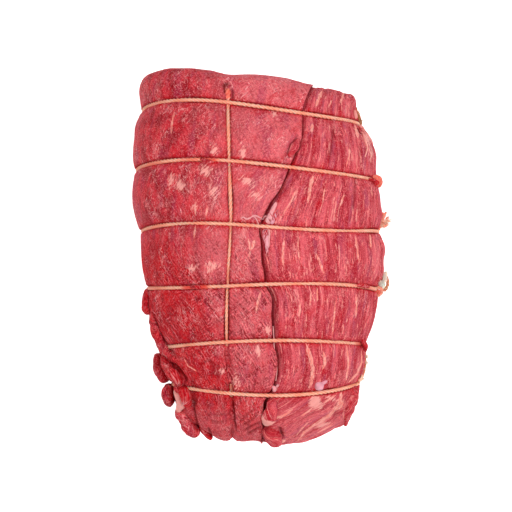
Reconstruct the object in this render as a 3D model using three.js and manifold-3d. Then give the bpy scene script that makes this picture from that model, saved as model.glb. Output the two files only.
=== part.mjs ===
// A raw beef roast, rolled and tied with butcher's twine, lying on its side.
// Millimetres, +Z up. The roast's length runs along Y, its blunt cut end towards +Y and its
// folded end towards -Y. The origin is the middle of the base, on the surface it rests on.
//
// The meat is one solid. Its skin is found along rays from a line through the roast: first a
// smooth barrel, then the relief on it: the pillows between the ties, the grooves that the twine
// presses in, the seam between the two muscles, and the loose lobes at the folded end.
// The rays start in a straightened roast, where each tie is a flat section, and the points
// found are then moved along Y, so that the ties stray as real ones do.
import * as THREE from "three";
import { mergeVertices } from "three/addons/utils/BufferGeometryUtils.js";
import Module from "manifold-3d";

const wasm = await Module();
wasm.setup();

const { PI, abs, atan2, cos, exp, hypot, max, min, pow, sin, sqrt } = Math;
const DEG = PI / 180;

// Twine, and how it lies in the meat
const TWINE_R = 0.8;
const GAP = 0.3; // left clear between two pieces
const SINK = 0.3; // the ties' outer side lies this far inside the barrel
const SPARE = 0.36; // the groove is this much deeper than it needs to be
const TIE_AT = -(SINK + TWINE_R);
const TIE_FLOOR = TIE_AT - TWINE_R - GAP - SPARE;
const LONG_AT = TIE_AT - 2 * TWINE_R - GAP - 0.1; // the lengthwise twine passes under the ties
const FLOOR_UNDER_LONG = -(TWINE_R + GAP + SPARE);
const FLOOR_HALF = 1.25; // half width of a groove's floor
const LIP_HALF = 3.0; // half width of a groove at the top of its sides

// The six ties, from the cut end to the folded end. y is where a tie crosses the lengthwise
// twine, left and right are its sides, top its height and string the lengthwise twine's x.
// slope, bow and skew say how far it has strayed along Y at STRAY_SPAN from STRAY_X, as the
// first, second and third power of that distance.
const STRAY_X = -11.5;
const STRAY_SPAN = 50;
const TIES = [
  { y: 63.5, left: -51.3, right: 47.3, top: 85, string: -11.9, slope: -6.6, bow: -2.8, skew: 4.0 },
  { y: 38.1, left: -53.8, right: 53.3, top: 90, string: -11.3, slope: -4.2, bow: -3.1, skew: 2.5 },
  { y: 11.3, left: -51.3, right: 55.0, top: 92, string: -10.6, slope: -3.2, bow: -2.4, skew: 3.3 },
  { y: -14.6, left: -48.6, right: 54.3, top: 91, string: -12.0, slope: 1.9, bow: 0.8, skew: -2.1 },
  { y: -38.1, left: -42.0, right: 49.0, top: 86, string: -12.4, slope: 2.8, bow: -3.2, skew: -0.1 },
  { y: -60.1, left: -38.0, right: 46.8, top: 78, string: -10.6, slope: -3.9, bow: 3.7, skew: 1.9 },
];

// How far the meat swells out between two ties, on the left, on top and on the right. The
// lengthwise twine is pushed out with it, but lies slacker. A lower power makes fuller pillows.
const PILLOWS = [
  { left: 1.8, top: 2.2, right: 1.2 }, // between the cut end and the first tie
  { left: 2.2, top: 3.2, right: 3.2 },
  { left: 2.4, top: 3.0, right: 2.4 },
  { left: 1.0, top: 2.6, right: 2.8 },
  { left: 0.8, top: 2.4, right: 1.4 },
  { left: 0.8, top: 2.6, right: 1.6 },
  { left: 0.8, top: 2.2, right: 1.2 }, // between the last tie and the folded end
];
const FULL = 0.6;
const SLACK = 1.8;
const LONG_LIFT = 0.75; // the twine's share of the swelling
const DENT = { share: 0.5, width: 6 }; // and what it takes off the pillows on both its sides

// The two ends. reach is how far an end lies beyond its tie, starts how far beyond it the end
// begins to close, and blunt the power of its curve: higher is squarer. bluntLeft adds to that
// on the left.
const CUT_END = { reach: 15.6, starts: 1, blunt: 4, bluntLeft: 3, left: -52, right: 45.8, top: 82 };
const FOLDED_END = { reach: 23.6, starts: 0, blunt: 2.4, bluntLeft: 0, left: -35.5, right: 43.5, top: 69 };
const FAN_BEYOND_TIE = 3.6; // past its last tie, the rays fan out from one point

// The barrel's section is a superellipse about a line at AXIS_SHARE of its height, cut off by
// the surface it lies on, which it would reach SAG below.
const AXIS_SHARE = 0.46;
const SAG = 6;
const UPPER_POWER = 2.3;
const LOWER_POWER = 2.6;
const FOOT_ROUND = SAG; // blends the sides into the flat base

// The seam between the muscles: where it runs, its depth and its width
const SEAM = [
  { y: 86, x: 24.5, deep: 3.5 },
  { y: 66, x: 22.9, deep: 4.5 },
  { y: 50, x: 19.1, deep: 4.5 },
  { y: 38, x: 14.7, deep: 4.0 },
  { y: 22, x: 6.6, deep: 3.6 },
  { y: 11, x: 1.9, deep: 3.4 },
  { y: -4, x: 2.5, deep: 3.8 },
  { y: -17, x: 5.7, deep: 4.6 },
  { y: -33, x: 7.0, deep: 5.6 },
  { y: -51, x: 9.2, deep: 4.8 },
  { y: -60, x: 6.4, deep: 5.5 },
  { y: -72, x: 2.7, deep: 7.0 },
  { y: -90, x: 2.0, deep: 7.0 },
];
const SEAM_LEFT = 2.2;
const SEAM_RIGHT = 2.8;
const SEAM_FADE = 16; // over this distance from the middle of an end, the seam runs out

// The lengthwise twine lies deeper past the fifth tie, from one y to the other, and over both
// ends, where it turns down
const LONG_DIP = { deep: 2.2, from: -42, to: -47 };
const LONG_END_DIP = { deep: 2.4, from: 0.35, to: 0.95 };

// Loose lobes of meat at the folded end: centre, direction of the long side, half length, half
// width and height, in the straightened roast
const LOBES = [
  { at: [-50, -20.5, 38], along: [0.05, -1, 0], long: 7.5, wide: 5.5, high: 4.0 },
  { at: [-44, -33, 42], along: [0.2, -0.98, 0], long: 14.5, wide: 7.0, high: 3.4 },
  { at: [-41, -50.5, 46], along: [0.5, -0.85, 0.1], long: 9.5, wide: 8.0, high: 5.0 },
  { at: [-38, -66, 32], along: [0.1, -1, 0], long: 5.8, wide: 7.0, high: 6.0 },
  { at: [-33, -66.5, 54], along: [0.4, -0.85, -0.3], long: 7.0, wide: 4.8, high: 2.8 },
  { at: [-30, -77, 36], along: [0.6, -0.75, 0], long: 9.5, wide: 8.0, high: 4.2 },
  { at: [-20, -82, 32], along: [0.5, 0, 0.85], long: 6.0, wide: 3.6, high: 2.6 },
  { at: [-3, -82, 48], along: [0, -0.2, 1], long: 16.0, wide: 6.4, high: 1.0 },
  { at: [9, -80, 48], along: [0.3, 0.2, 0.9], long: 8.0, wide: 5.4, high: 0.9 },
  { at: [38, -75, 40], along: [0.2, 0.2, 1], long: 9.0, wide: 4.6, high: 3.2 },
];
const LOBE_EDGE = 0.45; // the power of a lobe's edge: lower is steeper
const COVERED_TIES = [4, 5]; // their left sides run under lobes, through a tunnel
const COVER = 2.5; // a lobe this high hides a groove
const TUNNEL = { from: 118 * DEG, to: 235 * DEG };

// What shows of the knots on the ties' right sides: the angle above the level of the axis, the
// size of the lump as a share of KNOT, and the tails as direction and length
const KNOT = { along: 2.3, across: 2.0, out: 1.7, tailRise: 2.4 };
const KNOT_LIFT = [0.6, 2.1]; // a lump's middle above the tie's, for sizes 0 and 1
const HOLLOW = { from: 2, to: 6.6 }; // round a knot, the pillows are pressed flat
const KNOTS = [
  { angle: 4, size: 0.65, tails: [[-0.1, 1, 0.1, 6]] },
  { angle: 12, size: 1, tails: [[0.2, -0.95, 0.1, 6], [0.6, -0.6, 0.3, 3]] },
  { angle: 6, size: 0.8, tails: [[0.85, 0.5, 0, 9], [0.6, 0.8, 0.1, 7]] },
  { angle: 16, size: 1, tails: [[0.5, 0.86, 0.1, 9], [0.25, 0.95, 0.2, 9]] },
  null,
  { angle: 8, size: 0.65, tails: [[0.25, 0.97, 0.1, 12]] },
];
const TAIL_TIP = 0.75; // a tail's tip, as a share of the twine's radius

// Middle of the whole roast, knots and all, in the frame that the tables above are in
const MIDDLE = new THREE.Vector3(5.9, -1.3, 0);

// Facets
const TWINE_SIDES = 6;
const BETWEEN_TIES = 4; // rows of facets between two ties, beside those of the grooves
const CUT_END_ROWS = [14, 36, 56, 66, 71, 75, 79.5, 84]; // degrees from the end's middle
const FOLDED_END_ROWS = [85, 80, 74, 67, 59, 49, 36, 19, 6];
const COLUMN_RADIUS = 45; // turns a distance round the roast into the angle of a column

const clamp = (v, low, high) => min(high, max(low, v));
const smooth = (low, high, v) => {
  const t = clamp((v - low) / (high - low), 0, 1);
  return t * t * (3 - 2 * t);
};
const mix = (a, b, t) => a + (b - a) * t;
const smoothMin = (a, b, k) => min(a, b) - (max(k - abs(a - b), 0) ** 2) / (4 * k);

// A table's value at y, on a smooth curve through its rows, which run from +Y to -Y
function along(rows, field, y) {
  if (y >= rows[0].y) return rows[0][field];
  const last = rows.length - 1;
  if (y <= rows[last].y) return rows[last][field];
  const i = rows.findIndex((row) => row.y < y) - 1;
  const slope = (k) => {
    const before = rows[max(k - 1, 0)];
    const after = rows[min(k + 1, last)];
    return (after[field] - before[field]) / (after.y - before.y);
  };
  const a = rows[i];
  const b = rows[i + 1];
  const width = b.y - a.y;
  const t = (y - a.y) / width;
  return (
    (2 * t ** 3 - 3 * t ** 2 + 1) * a[field] +
    (t ** 3 - 2 * t ** 2 + t) * width * slope(i) +
    (3 * t ** 2 - 2 * t ** 3) * b[field] +
    (t ** 3 - t ** 2) * width * slope(i + 1)
  );
}

const FIRST = TIES[0];
const LAST = TIES[TIES.length - 1];
const CUT_Y = FIRST.y + CUT_END.reach;
const FOLDED_Y = LAST.y - FOLDED_END.reach;
const CUT_FAN = FIRST.y + FAN_BEYOND_TIE;
const FOLDED_FAN = LAST.y - FAN_BEYOND_TIE;
const STATIONS = [{ ...FIRST, ...CUT_END, y: CUT_Y }, ...TIES, { ...LAST, ...FOLDED_END, y: FOLDED_Y }];
function section(y) {
  const left = along(STATIONS, "left", y);
  const right = along(STATIONS, "right", y);
  const top = along(STATIONS, "top", y);
  return { middle: (left + right) / 2, half: (right - left) / 2, top, axis: AXIS_SHARE * top };
}

// How far a point of the straightened roast is moved along Y. On the underside the ties run
// straight from side to side.
function strayAt(x, y) {
  const t = (x - STRAY_X) / STRAY_SPAN;
  return along(TIES, "slope", y) * t + along(TIES, "bow", y) * t ** 2 + along(TIES, "skew", y) * t ** 3;
}
function strayed(p) {
  const { middle, half, axis } = section(p.y);
  const share = clamp((p.x - middle) / half / 2 + 0.5, 0, 1);
  const straight = mix(strayAt(middle - half, p.y), strayAt(middle + half, p.y), share);
  const bend = smooth(0.3 * axis, axis, p.z);
  return new THREE.Vector3(p.x, p.y + mix(straight, strayAt(p.x, p.y), bend), p.z);
}

// 1 on the barrel's surface, less inside it
function barrel(p) {
  const { middle, half, top, axis } = section(p.y);
  const upper = p.z > axis;
  const power = upper ? UPPER_POWER : LOWER_POWER;
  const across = abs(p.x - middle) / half;
  const upright = upper ? (p.z - axis) / (top - axis) : (axis - p.z) / (axis + SAG);
  const round = pow(pow(across, power) + pow(upright, power), 1 / power);
  const [end, tie, way] = p.y > 0 ? [CUT_END, FIRST, 1] : [FOLDED_END, LAST, -1];
  const beyond = max(0, (way * (p.y - tie.y) - end.starts) / (end.reach - end.starts));
  const leftward = clamp((middle - p.x) / half, 0, 1);
  const blunt = end.blunt + end.bluntLeft * leftward;
  return pow(pow(round, blunt) + pow(beyond, blunt), 1 / blunt);
}

// A ray leaves the axis at y, at polar angle from +Y, turned by angle from +X towards +Z
function ray(y, polar, angle) {
  const from = new THREE.Vector3(along(STATIONS, "string", y), y, section(y).axis);
  const way = new THREE.Vector3(sin(polar) * cos(angle), cos(polar), sin(polar) * sin(angle));
  return { from, way, polar, angle };
}
const onRay = (r, distance) => r.from.clone().addScaledVector(r.way, distance);

// Distance along a ray to the barrel, whose underside is flat
function barrelDistance(r) {
  let inside = 0;
  let outside = 130;
  for (let i = 0; i < 30; i++) {
    const half = (inside + outside) / 2;
    if (barrel(onRay(r, half)) < 1) inside = half;
    else outside = half;
  }
  return r.way.z < 0 ? smoothMin(inside, r.from.z / -r.way.z, FOOT_ROUND) : inside;
}

// Moves along a ray to an offset that is measured squarely from the barrel
const AXES = [new THREE.Vector3(1, 0, 0), new THREE.Vector3(0, 1, 0), new THREE.Vector3(0, 0, 1)];
const NUDGE = 0.05;
const LEAST_SLANT = 0.4;
function offBarrel(r, bare, offset) {
  const p = onRay(r, bare);
  const nudged = (axis, by) => barrel(p.clone().addScaledVector(axis, by));
  const normal = new THREE.Vector3(...AXES.map((axis) => nudged(axis, NUDGE) - nudged(axis, -NUDGE)));
  return onRay(r, bare + offset / max(normal.normalize().dot(r.way), LEAST_SLANT));
}

// How far the meat swells out between two ties
function pillow(p, way, power) {
  const next = TIES.findIndex((tie) => tie.y < p.y);
  const gap = next < 0 ? TIES.length : next;
  const start = gap ? TIES[gap - 1].y : CUT_Y + CUT_END.reach;
  const stop = gap < TIES.length ? TIES[gap].y : FOLDED_Y - FOLDED_END.reach;
  const size = PILLOWS[gap];
  const sideways = way.x ** 2 * (way.x < 0 ? size.left : size.right);
  const upwards = max(way.z, 0) ** 2 * size.top;
  return (sideways + upwards) * pow(max(sin((PI * (p.y - stop)) / (start - stop)), 0), power);
}

// Offset of the lengthwise twine's middle from the barrel
function longOffset(p, way) {
  const over = smooth(LONG_END_DIP.from, LONG_END_DIP.to, abs(way.y)) * LONG_END_DIP.deep;
  const past = way.z > 0 ? smooth(LONG_DIP.from, LONG_DIP.to, p.y) * LONG_DIP.deep : 0;
  return LONG_AT + LONG_LIFT * pillow(p, way, SLACK) - max(over, past);
}

const knotPlaces = KNOTS.map((knot, k) => {
  if (!knot) return null;
  const r = ray(TIES[k].y, PI / 2, knot.angle * DEG);
  return offBarrel(r, barrelDistance(r), TIE_AT);
});

// Lobes, with each centre brought to the barrel's surface
const lobes = LOBES.map((lobe) => {
  const { from } = ray(clamp(lobe.at[1], FOLDED_FAN, CUT_FAN), 0, 0);
  const way = new THREE.Vector3(...lobe.at).sub(from).normalize();
  const centre = onRay({ from, way }, barrelDistance({ from, way }));
  return { ...lobe, centre, along: new THREE.Vector3(...lobe.along).normalize() };
});
function lobeHeight(p) {
  let height = 0;
  for (const lobe of lobes) {
    const away = p.clone().sub(lobe.centre);
    const lengthwise = away.dot(lobe.along);
    const across = sqrt(max(away.lengthSq() - lengthwise ** 2, 0));
    const share = (lengthwise / lobe.long) ** 2 + (across / lobe.wide) ** 2;
    height = max(height, lobe.high * pow(max(1 - share, 0), LOBE_EDGE));
  }
  return height;
}

// Angle on a section at which the seam runs
function seamAngle(y) {
  const at = clamp(y, FOLDED_FAN, CUT_FAN);
  const x = along(SEAM, "x", at);
  const { middle, half, top, axis } = section(at);
  const height = (top - axis) * pow(1 - pow(abs(x - middle) / half, UPPER_POWER), 1 / UPPER_POWER);
  return atan2(height, x - along(STATIONS, "string", at));
}

// The meat's surface along a ray: the barrel, with its relief
function skinPoint(r) {
  const bare = barrelDistance(r);
  const p = onRay(r, bare);
  const nearKnot = min(...knotPlaces.map((place) => (place ? place.distanceTo(p) : Infinity)));
  const longFloor = longOffset(p, r.way) + FLOOR_UNDER_LONG;
  const besideLong = abs(offBarrel(r, bare, longFloor).x - r.from.x);
  const lobe = lobeHeight(p);
  const dent = DENT.share * exp(-((besideLong / DENT.width) ** 2));
  let offset = pillow(p, r.way, FULL) * (1 - dent) * smooth(HOLLOW.from, HOLLOW.to, nearKnot) + lobe;

  // grooves of the ties, except where a lobe covers one
  TIES.forEach((tie, k) => {
    const groove = 1 - smooth(FLOOR_HALF, LIP_HALF, abs(p.y - tie.y));
    const floor = mix(offset, TIE_FLOOR, groove);
    offset = COVERED_TIES.includes(k) ? mix(floor, offset, smooth(0, COVER, lobe)) : floor;
  });

  // groove of the lengthwise twine
  const inLine = 1 - smooth(FLOOR_HALF, LIP_HALF, besideLong);
  offset = mix(offset, min(offset, longFloor), inLine);

  // seam, a V with its lowest point on the line
  const arc = bare * max(sin(r.polar), 0) * (r.angle - seamAngle(p.y));
  const wall = 1 - abs(arc) / (arc < 0 ? SEAM_RIGHT : SEAM_LEFT);
  const out = hypot(p.x - r.from.x, p.z - r.from.z);
  if (wall > 0) offset -= wall * along(SEAM, "deep", p.y) * smooth(0, SEAM_FADE, out);

  const skin = offBarrel(r, bare, offset);
  skin.z = max(skin.z, 0);
  return strayed(skin);
}

// Angles of the facets' columns, once round from the underside. They follow the lengthwise
// twine and the seam, and are closer on top and on the left, where the lobes are.
function columns(y) {
  const turn = (mm) => mm / COLUMN_RADIUS;
  const beside = [-turn(LIP_HALF), -turn(FLOOR_HALF), turn(FLOOR_HALF), turn(LIP_HALF)];
  const seam = seamAngle(y);
  const under = -PI / 2;
  const stops = [
    ...beside.map((a) => ({ angle: under + a, steps: 1 })),
    { angle: 0, steps: 8 },
    { angle: seam - turn(SEAM_RIGHT), steps: 7 },
    { angle: seam, steps: 1 },
    { angle: seam + turn(SEAM_LEFT), steps: 1 },
    { angle: PI / 2 + beside[0], steps: 3 },
    ...beside.slice(1).map((a) => ({ angle: PI / 2 + a, steps: 1 })),
    { angle: PI, steps: 12 },
    { angle: PI + 1.2, steps: 9 },
    { angle: 2 * PI + under + beside[0], steps: 3 },
  ];
  const angles = [stops[0].angle];
  stops.slice(1).forEach((stop, i) => {
    const start = stops[i].angle;
    for (let k = 1; k <= stop.steps; k++) angles.push(mix(start, stop.angle, k / stop.steps));
  });
  return angles.slice(0, -1);
}

// The meat's rows of facets: y on the axis and polar angle of the rays
function rows() {
  const made = CUT_END_ROWS.map((degrees) => ({ y: CUT_FAN, polar: degrees * DEG }));
  TIES.forEach((tie, k) => {
    const offsets = [LIP_HALF, FLOOR_HALF, -FLOOR_HALF, -LIP_HALF];
    offsets.forEach((offset) => made.push({ y: tie.y + offset, polar: PI / 2 }));
    if (tie === LAST) return;
    const from = tie.y - LIP_HALF;
    const to = TIES[k + 1].y + LIP_HALF;
    for (let i = 1; i <= BETWEEN_TIES; i++) {
      made.push({ y: mix(from, to, i / (BETWEEN_TIES + 1)), polar: PI / 2 });
    }
  });
  FOLDED_END_ROWS.forEach((degrees) => made.push({ y: FOLDED_FAN, polar: PI - degrees * DEG }));
  return made;
}

// A closed skin over rings of points, all of one length. It closes on the two points in ends,
// or without them its last ring joins the first.
function skinOver(rings, ends) {
  const size = rings[0].length;
  const points = rings.flat();
  const faces = [];
  const count = ends ? rings.length - 1 : rings.length;
  for (let i = 0; i < count; i++) {
    const here = i * size;
    const there = ((i + 1) % rings.length) * size;
    for (let k = 0; k < size; k++) {
      const next = (k + 1) % size;
      const [a, b, c, d] = [here + k, here + next, there + next, there + k];
      const even = points[a].distanceTo(points[c]) < points[b].distanceTo(points[d]);
      faces.push(...(even ? [a, b, c, a, c, d] : [a, b, d, b, c, d]));
    }
  }
  if (ends) {
    const first = points.push(ends[0]) - 1;
    const final = points.push(ends[1]) - 1;
    const tail = (rings.length - 1) * size;
    for (let k = 0; k < size; k++) {
      const next = (k + 1) % size;
      faces.push(first, next, k, final, tail + k, tail + next);
    }
  }
  const geometry = new THREE.BufferGeometry().setFromPoints(points);
  geometry.setIndex(faces);
  return geometry;
}

// A tube along points. It is a ring if closed, and otherwise tapers to its last point.
const START_ACROSS = new THREE.Vector3(0.3, 0.2, 0.93);
function tube(points, radius, closed) {
  const curve = points.map((point, i) => {
    const wrap = (k) => (closed ? (k + points.length) % points.length : clamp(k, 0, points.length - 1));
    const tangent = points[wrap(i + 1)].clone().sub(points[wrap(i - 1)]).normalize();
    return { point, tangent };
  });
  let across = new THREE.Vector3().crossVectors(curve[0].tangent, START_ACROSS).normalize();
  const rings = curve.map(({ point, tangent }, i) => {
    across = across.clone().addScaledVector(tangent, -across.dot(tangent)).normalize();
    const other = new THREE.Vector3().crossVectors(tangent, across);
    const size = closed ? radius : radius * mix(1, TAIL_TIP, i / (curve.length - 1));
    return Array.from({ length: TWINE_SIDES }, (_, k) => {
      const angle = (2 * PI * k) / TWINE_SIDES;
      const sideways = point.clone().addScaledVector(across, size * cos(angle));
      return sideways.addScaledVector(other, size * sin(angle));
    });
  });
  return skinOver(rings, closed ? null : [points[0], points[points.length - 1]]);
}

// Solids for booleans, and back
function solid(geometry) {
  const bare = geometry.index ? geometry.toNonIndexed() : geometry.clone();
  const only = new THREE.BufferGeometry().setAttribute("position", bare.getAttribute("position"));
  const merged = mergeVertices(only, 1e-4);
  const made = new wasm.Manifold(
    new wasm.Mesh({
      numProp: 3,
      vertProperties: new Float32Array(merged.attributes.position.array),
      triVerts: new Uint32Array(merged.index.array),
    }),
  );
  if (made.volume() < 0) throw new Error("a solid's faces point inwards");
  return made;
}
function geometryOf(made) {
  const mesh = made.getMesh();
  const geometry = new THREE.BufferGeometry();
  geometry.setAttribute("position", new THREE.BufferAttribute(mesh.vertProperties, 3));
  geometry.setIndex(new THREE.BufferAttribute(mesh.triVerts, 1));
  return geometry;
}

// Middle line of tie k at given angles
function tieLine(k, angles) {
  return angles.map((angle) => {
    const r = ray(TIES[k].y, PI / 2, angle);
    return strayed(offBarrel(r, barrelDistance(r), TIE_AT));
  });
}

function meat() {
  const rings = rows().map(({ y, polar }) => columns(y).map((angle) => skinPoint(ray(y, polar, angle))));
  const ends = [ray(CUT_FAN, 0, PI / 2), ray(FOLDED_FAN, PI, PI / 2)].map(skinPoint);
  let body = solid(skinOver(rings, ends));
  for (const k of COVERED_TIES) {
    const angles = columns(TIES[k].y).filter((angle) => angle > TUNNEL.from && angle < TUNNEL.to);
    const tunnel = tube(tieLine(k, angles), (TWINE_R + GAP) / TAIL_TIP, false);
    body = body.subtract(solid(tunnel));
  }
  return geometryOf(body);
}

function tie(k) {
  let made = solid(tube(tieLine(k, columns(TIES[k].y)), TWINE_R, true));
  const knot = KNOTS[k];
  if (!knot) return geometryOf(made);
  const tilt = knot.angle * DEG;
  const outward = new THREE.Vector3(cos(tilt), 0, sin(tilt));
  const centre = strayed(knotPlaces[k]).addScaledVector(outward, mix(...KNOT_LIFT, knot.size));
  const lump = new THREE.IcosahedronGeometry(knot.size, 1);
  lump.scale(KNOT.out, KNOT.across, KNOT.along);
  lump.rotateY(-tilt);
  lump.translate(centre.x, centre.y, centre.z);
  made = made.add(solid(lump));
  for (const [x, y, z, length] of knot.tails) {
    const way = new THREE.Vector3(x, y, z).normalize();
    const points = [0, 0.35, 0.7, 1].map((t) => {
      const rise = KNOT.tailRise * sin((t * PI) / 2);
      return centre.clone().addScaledVector(way, t * (length + KNOT.out)).addScaledVector(outward, rise);
    });
    made = made.add(solid(tube(points, TWINE_R, false)));
  }
  return geometryOf(made);
}

// The lengthwise twine: from the cut end over the top to the folded end, and back underneath
function lengthwise() {
  const over = [{ y: CUT_FAN, polar: 0 }, ...rows(), { y: FOLDED_FAN, polar: PI }];
  const under = rows().filter(({ polar }, i) => polar !== PI / 2 || i % 4 === 0);
  const rays = [
    ...over.map(({ y, polar }) => ray(y, polar, PI / 2)),
    ...under.reverse().map(({ y, polar }) => ray(y, polar, -PI / 2)),
  ];
  const points = rays.map((r) => {
    const bare = barrelDistance(r);
    return strayed(offBarrel(r, bare, longOffset(onRay(r, bare), r.way)));
  });
  return tube(points, TWINE_R, true);
}

const MEAT = new THREE.MeshStandardMaterial({ color: 0xc04a52, roughness: 0.4, metalness: 0 });
const TWINE = new THREE.MeshStandardMaterial({ color: 0xf2a884, roughness: 0.8, metalness: 0 });

const roast = new THREE.Group();
function add(name, geometry, material) {
  const mesh = new THREE.Mesh(geometry, material);
  mesh.name = name;
  mesh.position.copy(MIDDLE).negate();
  roast.add(mesh);
}
add("meat", meat(), MEAT);
add("twine_lengthwise", lengthwise(), TWINE);
TIES.forEach((_, k) => add(`twine_tie_${k + 1}`, tie(k), TWINE));

export default roast;
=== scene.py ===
import math

import bpy
import numpy as np
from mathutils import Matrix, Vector, kdtree, noise


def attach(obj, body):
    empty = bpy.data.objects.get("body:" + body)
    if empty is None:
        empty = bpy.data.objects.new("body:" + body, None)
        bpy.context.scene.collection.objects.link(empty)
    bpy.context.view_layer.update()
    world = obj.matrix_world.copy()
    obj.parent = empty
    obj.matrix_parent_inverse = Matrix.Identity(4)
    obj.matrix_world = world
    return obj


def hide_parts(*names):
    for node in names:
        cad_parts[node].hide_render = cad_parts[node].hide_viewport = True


# A raw beef roast, rolled and tied with butcher's twine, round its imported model.
# Shapes are worked out in millimetres, in the frame of the tables below: that is the packed
# model's frame moved by MIDDLE. The roast's length runs along Y, its cut end towards +Y.
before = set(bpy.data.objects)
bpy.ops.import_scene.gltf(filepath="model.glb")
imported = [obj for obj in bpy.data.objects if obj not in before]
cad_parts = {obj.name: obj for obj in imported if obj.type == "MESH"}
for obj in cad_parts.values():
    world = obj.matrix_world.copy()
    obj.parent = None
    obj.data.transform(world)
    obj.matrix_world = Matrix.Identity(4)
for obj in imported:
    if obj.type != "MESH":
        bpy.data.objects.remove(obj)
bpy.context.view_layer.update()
METRE = 0.001
DEG = math.pi / 180
MIDDLE = np.array([5.9, -1.3, 0])

# The camera, as the photo was taken: from above, tipped a little, and centred on the photo
CAMERA_TARGET = np.array([0, 0, 42])
CAMERA_ELEVATION = 87.5 * DEG
CAMERA_DISTANCE = 700
PHOTO_SIZE = 512
PIXELS_PER_SLOPE = 1555.6 # focal length in pixels
SENSOR = 36


def table(fields, *rows):
    """Rows as dicts, with the names of their fields given once."""
    return [dict(zip(fields.split(), row)) for row in rows]


# Twine, and how it lies in the meat. Offsets are from the barrel, outwards.
TWINE_R = 0.88
TIE_AT = -0.75
LONG_AT = -2.6
TIE_FLOOR = -2.0
LONG_FLOOR = -1.4
GROOVE_HALF = 0.5
GROOVE_ROUND = 0.45

# The ties, from the cut end to the folded end. slope, bow and skew say how far a tie has strayed
# along Y at STRAY_SPAN from STRAY_X, as the first, second and third power of that distance.
STRAY_X = -11.5
STRAY_SPAN = 50
STRAY_FROM = 0.3 # under this share of the axis' height they run straight across
TIES = table(
    "y left right top string slope bow skew",
    (63.5, -51.3, 47.3, 85, -11.9, -6.6, -2.8, 4),
    (38.1, -53.8, 53.3, 90, -11.3, -4.2, -3.1, 2.5),
    (11.3, -51.3, 55, 92, -10.6, -3.2, -2.4, 3.3),
    (-14.6, -48.6, 54.3, 91, -12, 1.9, 0.8, -2.1),
    (-38.1, -42, 49, 86, -12.4, 2.8, -3.2, -0.1),
    (-60.1, -38, 46.8, 78, -10.6, -3.9, 3.7, 1.9),
)

# How far the meat swells out between two ties, on the left, on top and on the right
PILLOWS = table(
    "left top right",
    (1.8, 2.2, 1.2), (2.2, 3.2, 3.2), (2.4, 3, 2.4), (1, 2.6, 2.8), (0.8, 2.4, 1.4), (0.8, 2.6, 1.6),
    (0.8, 2.2, 1.2),
)
FULL = 0.8 # the powers of the swelling, for the meat and for the lengthwise twine
SLACK = 1.8
LONG_LIFT = 0.95
DENT_SHARE = 0.5
DENT_WIDTH = 6

# The two ends, the barrel and its flat base
CUT_END = dict(reach=15.6, starts=1, blunt=4, blunt_left=3, left=-52, right=45.8, top=82)
FOLDED_END = dict(reach=23.6, starts=0, blunt=2.4, blunt_left=0, left=-35.5, right=43.5, top=69)
FAN_BEYOND_TIE = 3.6
AXIS_SHARE = 0.46
SAG = 6
UPPER_POWER = 2.3
LOWER_POWER = 2.6

# The seam between the two muscles
SEAM = table(
    "y x deep",
    (86, 24, 3), (72, 22.6, 3.5), (62, 20.2, 3.8), (50, 17.8, 4.5), (38, 14.7, 4), (22, 6.6, 3.6),
    (11, 1.9, 3.4), (-4, 2.9, 3.8), (-14, 5, 4.2), (-21, 7.5, 4.8), (-33, 8, 5.4), (-48, 9.8, 4.8),
    (-57, 7.8, 5), (-64, 4.9, 6.5), (-74, 4.3, 7), (-90, 3, 7),
)
SEAM_HALF = 0.25
SEAM_LEFT = 0.6 # the left side of the seam is steep, and hangs over it
SEAM_RIGHT = 0.5
SEAM_FADE = 8
CLEFT_SHARE = 0.75 # of the seam's depth, in the cleft itself
# The slopes beside the cleft, in the roast's upper part and its lower part in the photo
SLOPE_LEFT = (1.0, 2.8)
SLOPE_RIGHT = (2.0, 0.8)
SLOPE_SHARE = (0.2, 0.26)
CUT_STEP = 0.9 # at the cut end the right muscle is this much shorter

# The lengthwise twine lies deeper past the fifth tie, and over both ends
LONG_DIP = dict(deep=2.2, start=-38.5, end=-43)
LONG_END_DIP = dict(deep=2.4, start=0.35, end=0.95)
# It shows again at the sixth tie, where it rises and its groove is open
LONG_RISE = dict(high=0.9, up=(54, 57), down=(64, 61))
CLOSED = dict(start=(38.6, 40.6), opens=(55, 57), closes=(62.6, 61.4))
# The folds where the groove has closed: depth and width
CLOSED_FOLDS = [(1.3, 0.7), (0.6, 2.4)]
FACING_UP = (0.1, 0.4)
# It comes out of the meat at this y, and is buried between there and the rim of the cut end
LONG_OUT = 68.9
BURIED = 2.6
DIMPLES = [dict(past=0.4, wide=1.3, long=1.5, deep=1.5), dict(past=-1, wide=4, long=4, deep=1.0)]

# Loose lobes at the folded end
LOBES = table(
    "at along long wide high",
    ((-44, -33, 40), (0.2, -0.98, 0), 13, 5.5, 1.4),
    ((-41, -50.5, 44), (0.5, -0.85, 0.1), 9, 7, 2),
    ((-30, -77, 36), (0.6, -0.75, 0), 9.5, 8, 2),
    ((38, -75, 40), (0.2, 0.2, 1), 9, 4.6, 1.6),
)
LOBE_EDGE = 0.45
COVERED_TIES = [4, 5]
COVER = 2.5

# Where the knots press the pillows flat: the tie and the angle above the level of the axis
KNOT_ANGLES = {0: 4, 1: 12, 2: 6, 3: 16, 5: 8}
HOLLOW = (2, 6.6)

# How the rays find the barrel
FARTHEST = 130.0
HALVINGS = 24
NUDGE = 0.05
LEAST_SLANT = 0.4

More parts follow.
